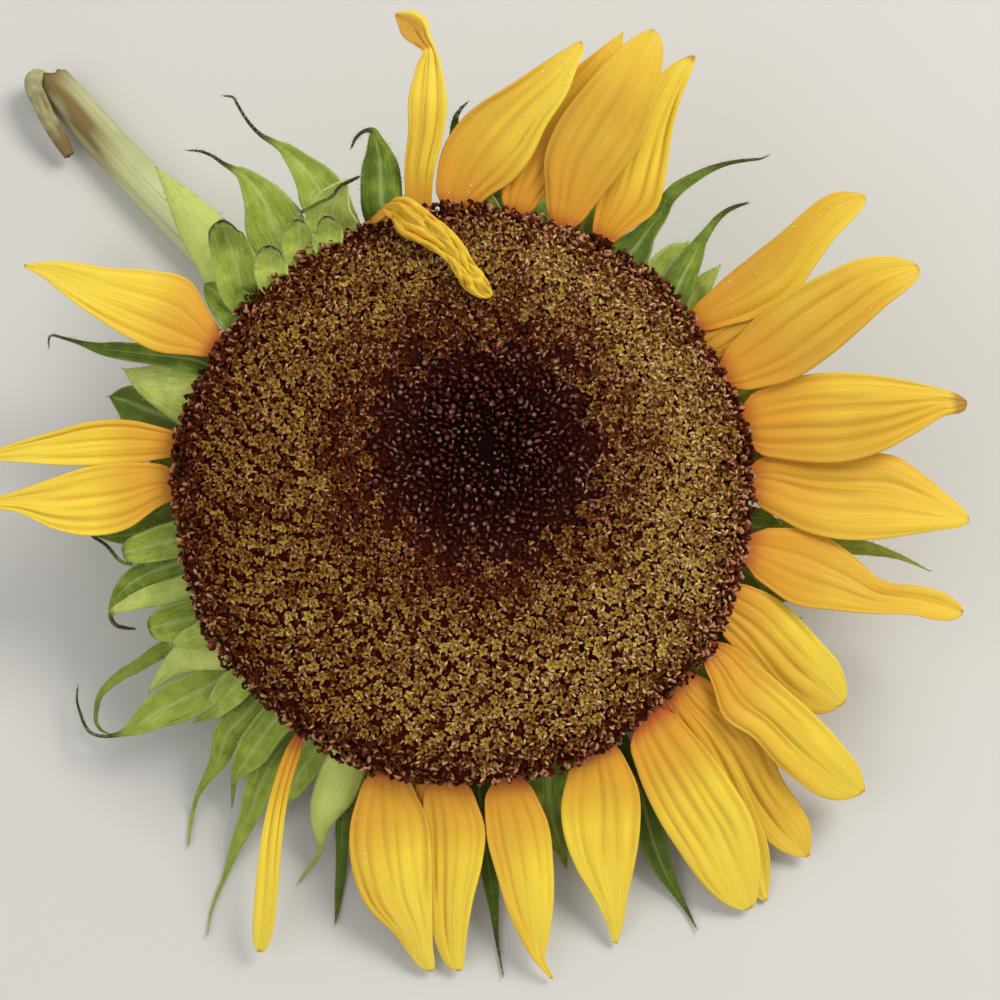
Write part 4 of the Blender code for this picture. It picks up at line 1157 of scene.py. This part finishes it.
def budPlaces(draw):
    centre, hole = disc["spiralCentre"], disc["hole"]
    for x, y in spiralPlaces(disc["budPitch"], head["discRadius"]):
        away = math.hypot(x - centre.x, y - centre.y)
        if away > disc["budZone"] + draw.uniform(-5.0, 8.0):
            continue
        x += draw.uniform(-0.5, 0.5)
        y += draw.uniform(-0.5, 0.5)
        if math.hypot((x - centre.x) / hole[0], (y - centre.y) / hole[1]) < 1.0:
            continue
        size = disc["budPitch"] * draw.uniform(0.7, 1.2) * (0.7 + 0.3 * smoothstep(2.0, 14.0, away))
        pale = draw.choice((-0.5, -0.4, -0.3, -0.15, 0.0, 0.15))
        level = discLevel(x, y) - 0.4 + draw.uniform(-0.5, 0.6)
        turn, tiltAxis, tilt = draw.uniform(0, 6.3), draw.uniform(0, 6.3), draw.uniform(0.0, 0.7)
        yield away, (setDown(x, y, level, size, turn, tiltAxis, tilt), pale)


def fringePlaces(draw):
    # curled styles round the edge; every third one hangs over it
    for number in range(disc["fringeCount"]):
        angle = draw.uniform(0.0, 2.0 * math.pi)
        hanging = number % 3 == 0
        share = 1.0 if hanging else math.sqrt(draw.random())
        radius = mixed(*disc["fringeBand"], share) + draw.uniform(-1.0, 0.8)
        radius += 0.6 * math.sin(9.0 * angle) * share
        x, y = radius * math.cos(angle), radius * math.sin(angle)
        level = discLevel(x, y) + (draw.uniform(-4.2, -1.0) if hanging else draw.uniform(-0.2, 0.8))
        tilt = smoothstep(70.0, 76.0, radius) * 0.9 + draw.uniform(-0.3, 0.4)
        tilt += 0.7 if hanging else 0.0
        pale = draw.uniform(0.25, 0.55) if draw.random() < 0.25 else draw.uniform(-0.4, 0.15)
        size, turn = draw.uniform(1.4, 2.9), angle + draw.uniform(-1.6, 1.6)
        yield setDown(x, y, level, size, turn, angle + math.pi / 2, tilt), pale


def buildFlorets():
    draw = random.Random(21)
    buds, budStyles = [], []
    for away, place in budPlaces(draw):
        (budStyles if draw.random() < 0.3 + 0.02 * away else buds).append(place)
    corollas, darkStyles, tanStyles = [], [], []
    centre, pitch = disc["spiralCentre"], disc["floretPitch"]
    for x, y in spiralPlaces(pitch, disc["floretEdge"]):
        away = math.hypot(x - centre.x, y - centre.y)
        radius = math.hypot(x, y)
        if away < disc["budZone"] - 3.0 + draw.uniform(-5.0, 8.0):
            continue
        x += draw.uniform(-disc["scatter"], disc["scatter"])
        y += draw.uniform(-disc["scatter"], disc["scatter"])
        opening = smoothstep(disc["budZone"] - 1.0, disc["budZone"] + 22.0, away)
        edge = smoothstep(62.0, 73.0, radius)
        cluster = noise.noise(Vector((x * 0.11, y * 0.11, 2.0)))
        cluster += 0.6 * noise.noise(Vector((x * 0.35, y * 0.35, 5.0)))
        level = discLevel(x, y) + mixed(-0.5, 0.1, opening) + draw.uniform(-0.3, 0.3)
        out = outwards(x, y)
        # open corolla: brightest half way out, rusty next to the buds and at the edge, and lighter
        # towards the right as painted light
        tone = mixed(-0.5, 0.0, opening) - 0.4 * edge + 0.35 * cluster + 0.002 * x
        tone += draw.uniform(-0.22, 0.22)
        # the tan styles' tone, lighter towards the right as painted light, and also towards the top and
        # bottom
        tanToneAndLight = mixed(-0.35, -0.05, opening) + 0.0035 * x + 0.002 * abs(y) + 0.2 * cluster - 0.15 * edge
        tilt = draw.uniform(0.0, 0.4) + 0.75 * edge
        size = pitch * draw.uniform(0.85, 1.3)
        turn, tiltAxis = draw.uniform(0, 6.3), out + math.pi / 2 + draw.uniform(-1.0, 1.0)
        corollas.append((setDown(x, y, level, size, turn, tiltAxis, tilt), tone))
        # styles between the florets, dark ones and tan ones; the dark ones get lighter towards the right
        # as painted light
        turn = draw.uniform(0.0, 6.3)
        darkCount = draw.choice((2, 3, 4)) + (1 if opening < 0.5 or edge > 0.5 else 0)
        tanCount = draw.choice((2, 2, 3)) if draw.random() < 0.35 + 0.65 * opening else 0
        for count, styles, shifts in (
            (darkCount, darkStyles, (-0.35 + 0.0015 * x, 0.35 + 0.0015 * x)),
            (tanCount, tanStyles, (tanToneAndLight - 0.3, tanToneAndLight + 0.25)),
        ):
            for arm in range(count):
                turn += 2.1 + draw.uniform(-0.6, 0.6)
                reach = pitch * draw.uniform(0.3, 0.75)
                spot = (x + math.cos(turn) * reach, y + math.sin(turn) * reach)
                rise, lie = draw.uniform(0.1, 0.8), turn + draw.uniform(-1.6, 1.6)
                size, tiltAxis = draw.uniform(1.3, 1.9), draw.uniform(0, 6.3)
                place = setDown(*spot, level + rise, size, lie, tiltAxis, draw.uniform(0.0, 0.6))
                styles.append((place, draw.uniform(*shifts)))
    fringe = list(fringePlaces(draw))
    for name, places, shape, face in (
        ("discBuds", buds, budShape, "budMaroon"),
        ("discBudStyles", budStyles, curlShape, "budMaroon"),
        ("discCorollas", corollas, corollaShape, "floretOlive"),
        ("discDarkStyles", darkStyles, curlShape, "floretMaroon"),
        ("discTanStyles", tanStyles, curlShape, "floretTan"),
        ("discFringe", fringe, curlShape, "floretMaroon"),
    ):
        scatter(name, places, templateMesh(shape), floretFaces[face], ("disc_florets",),
            smooth=shape is not corollaShape)
        print(name, len(places))


buildBed()
buildFlorets()
print("disc made")


# the stem

stem = {
    "start": Vector((0.0, 0.0, -36.3)),
    "shift": Vector((-0.449, -16.445)),
    "route": [(-17.0, 33.0, 8.6), (-34.0, 51.0, 7.9), (-56.0, 74.0, 7.2), (-80.0, 98.0, 6.4),
        (-104.0, 124.0, 5.8), (-124.0, 147.0, 5.6)],
    "topRadius": 9.6,
    "drop": 9.0,
    "runIn": 12.0,
    "pressed": 0.9,
    "bendSteps": 16,
    "laySteps": 60,
    "stalk": {"sides": 56, "ribs": 12, "ribDepth": 0.028, "ragged": 2.5},
    "strip": {"sides": 16, "ribs": 3, "ribDepth": 0.12, "ragged": 0.6},
    "stripSteps": 36,
    "stripRoute": [(-126.0, 130.5, 6.0, 2.2), (-128.4, 130.2, 8.6, 2.6), (-129.0, 126.6, 9.6, 2.7),
        (-126.8, 121.8, 9.2, 2.5), (-123.9, 116.0, 8.2, 2.5), (-120.6, 110.6, 6.8, 2.3),
        (-118.0, 106.2, 5.0, 1.5)],
}


def stemStations():
    start = headTurn @ stem["start"] + head["centre"]
    leave = headTurn @ Vector((0.0, 0.0, -1.0))
    shift, pressed = stem["shift"], stem["pressed"]
    laid = [Vector((x + shift.x, y + shift.y, radius - pressed)) for x, y, radius in stem["route"]]
    radii = [radius for x, y, radius in stem["route"]]
    along = (laid[1] - laid[0]).normalized()
    bend = [start, start + leave * stem["drop"], laid[0] - along * stem["runIn"], laid[0]]
    stations = []
    for step in range(stem["bendSteps"]):
        t = step / stem["bendSteps"]
        stations.append((bezierPoint(bend, t), mixed(stem["topRadius"], radii[0], t)))
    for step in range(stem["laySteps"] + 1):
        t = step / stem["laySteps"]
        place = t * (len(radii) - 1)
        index = min(int(place), len(radii) - 2)
        radius = mixed(radii[index], radii[index + 1], place - index)
        centre = routePoint(laid, t)
        centre.z = radius - pressed
        stations.append((centre, radius))
    return stations, leave


def extrudeTube(bm, stations, leave, flat, sides, ribs, ribDepth, ragged):
    layers = bladeLayers(bm)
    ring = bmesh.ops.create_circle(bm, cap_ends=False, segments=sides, radius=1.0)["verts"]
    for index, vert in enumerate(ring):
        vert[layers["across"]] = math.atan2(vert.co.y, vert.co.x)
    edges = list({edge for vert in ring for edge in vert.link_edges})
    firstEdges = list(edges)
    verts = ring
    sideBefore = Vector((1.0, 0.0, 0.0))
    last = len(stations) - 1
    for index, (centre, radius) in enumerate(stations):
        ahead = stations[min(index + 1, last)][0] - stations[max(index - 1, 0)][0]
        forward = leave if index == 0 and leave is not None else ahead.normalized()
        side = (sideBefore - sideBefore.dot(forward) * forward).normalized()
        sideBefore = side
        up = forward.cross(side)
        if index:
            edges, verts = extrudeEdges(bm, edges)
        share = index / last
        for vert in verts:
            angle = vert[layers["across"]]
            rib = math.cos(ribs * angle + 0.6 * math.sin(4.0 * share))
            cosine, sine = math.cos(angle), math.sin(angle)
            outward = side * cosine + up * sine
            lump = noise.noise(Vector((cosine, sine, share * 9.0))) * 0.03
            reach = radius * (1.0 + ribDepth * (abs(rib) ** 0.7 - 0.7) + lump)
            point = centre + outward * reach
            if index == last:
                point += forward * ragged * noise.noise(Vector((cosine * 2.0, sine * 2.0, 5.0)))
            if flat:
                point.z = max(point.z, 0.02)
            vert.co = point * millimetre
            vert[layers["along"]] = share
            # the furrows between the ribs, where the stem colour paints shade
            vert[layers["grooveShadeAndLines"]] = 0.5 * (1.0 - abs(rib)) ** 2
            west = outward.dot(Vector((-0.7, -0.45, 0.55)))
            patch = 0.8 + 1.2 * noise.noise(Vector((angle * 1.5, share * 14.0, 3.0)))
            if flat:
                dried = smoothstep(-0.2, 0.8, west) * smoothstep(0.78, 0.9, share) * patch
                dried += smoothstep(0.94, 1.0, share) * 0.6
            else:
                dried = smoothstep(0.72, 0.95, share) + 0.3 + 0.45 * patch * smoothstep(0.1, 0.4, share)
            vert[layers["scorch"]] = min(1.0, max(0.0, dried))
            vert[layers["tone"]] = 0.5
    bmesh.ops.edgeloop_fill(bm, edges=firstEdges)
    cap = bmesh.ops.edgeloop_fill(bm, edges=edges)["faces"]
    bmesh.ops.inset_region(bm, faces=cap, thickness=0.0006, depth=-0.0008)
    bmesh.ops.recalc_face_normals(bm, faces=bm.faces)


def buildStem():
    stations, leave = stemStations()
    bm = bmesh.new()
    extrudeTube(bm, stations, leave, True, **stem["stalk"])
    finishPiece("stemStalk", bm, [stemFace], ("stem",))
    points = [Vector(station[:3]) for station in stem["stripRoute"]]
    radii = [station[3] for station in stem["stripRoute"]]
    places = [step / stem["stripSteps"] for step in range(stem["stripSteps"] + 1)]
    bm = bmesh.new()
    extrudeTube(bm, [(routePoint(points, t), routePoint(radii, t)) for t in places], None, False,
        **stem["strip"])
    finishPiece("stemStrip", bm, [stemFace], ("stem",))


buildStem()
print("stem made")


# camera, floor and light

def buildStage():
    cameraData = bpy.data.cameras.new("camera")
    cameraData.lens = view["lens"]
    cameraData.sensor_width = 36.0
    cameraData.clip_start = 0.01
    camera = placeObject("camera", cameraData)
    place = headTurn @ (view["aim"] + Vector((0.0, 0.0, view["distance"]))) + head["centre"]
    camera.matrix_world = Matrix.Translation(place * millimetre) @ headTurn.to_4x4()
    bpy.context.scene.camera = camera

    bm = bmesh.new()
    bmesh.ops.create_grid(bm, x_segments=1, y_segments=1, size=3.0)
    mesh = meshFrom("floor", bm)
    floor = placeObject("floor", mesh)
    material, tree, shader = newMaterial("floorPale", 0.8, 0.2)
    shader.inputs["Base Color"].default_value = (0.62, 0.60, 0.56, 1.0)
    mesh.materials.append(material)

    lights = {
        "keyLight": {"place": (0.8, 0.45, 1.2), "size": 0.8, "power": 15.0, "colour": (1.0, 0.97, 0.92)},
        "fillLight": {"place": (-0.9, -0.5, 1.2), "size": 1.4, "power": 6.0, "colour": (0.98, 0.99, 1.0)},
    }
    for name, light in lights.items():
        data = bpy.data.lights.new(name, "AREA")
        data.shape = "DISK"
        data.size = light["size"]
        data.energy = light["power"]
        data.color = light["colour"]
        lamp = placeObject(name, data)
        lamp.location = light["place"]
        lamp.rotation_euler = (-Vector(light["place"])).to_track_quat("-Z", "Y").to_euler()
    world = bpy.data.worlds.new("studio")
    world.use_nodes = True
    world.node_tree.nodes["Background"].inputs["Color"].default_value = (0.95, 0.97, 1.0, 1.0)
    world.node_tree.nodes["Background"].inputs["Strength"].default_value = 0.55
    bpy.context.scene.world = world
    bpy.context.scene.view_settings.view_transform = "Standard"


buildStage()
print("stage made")
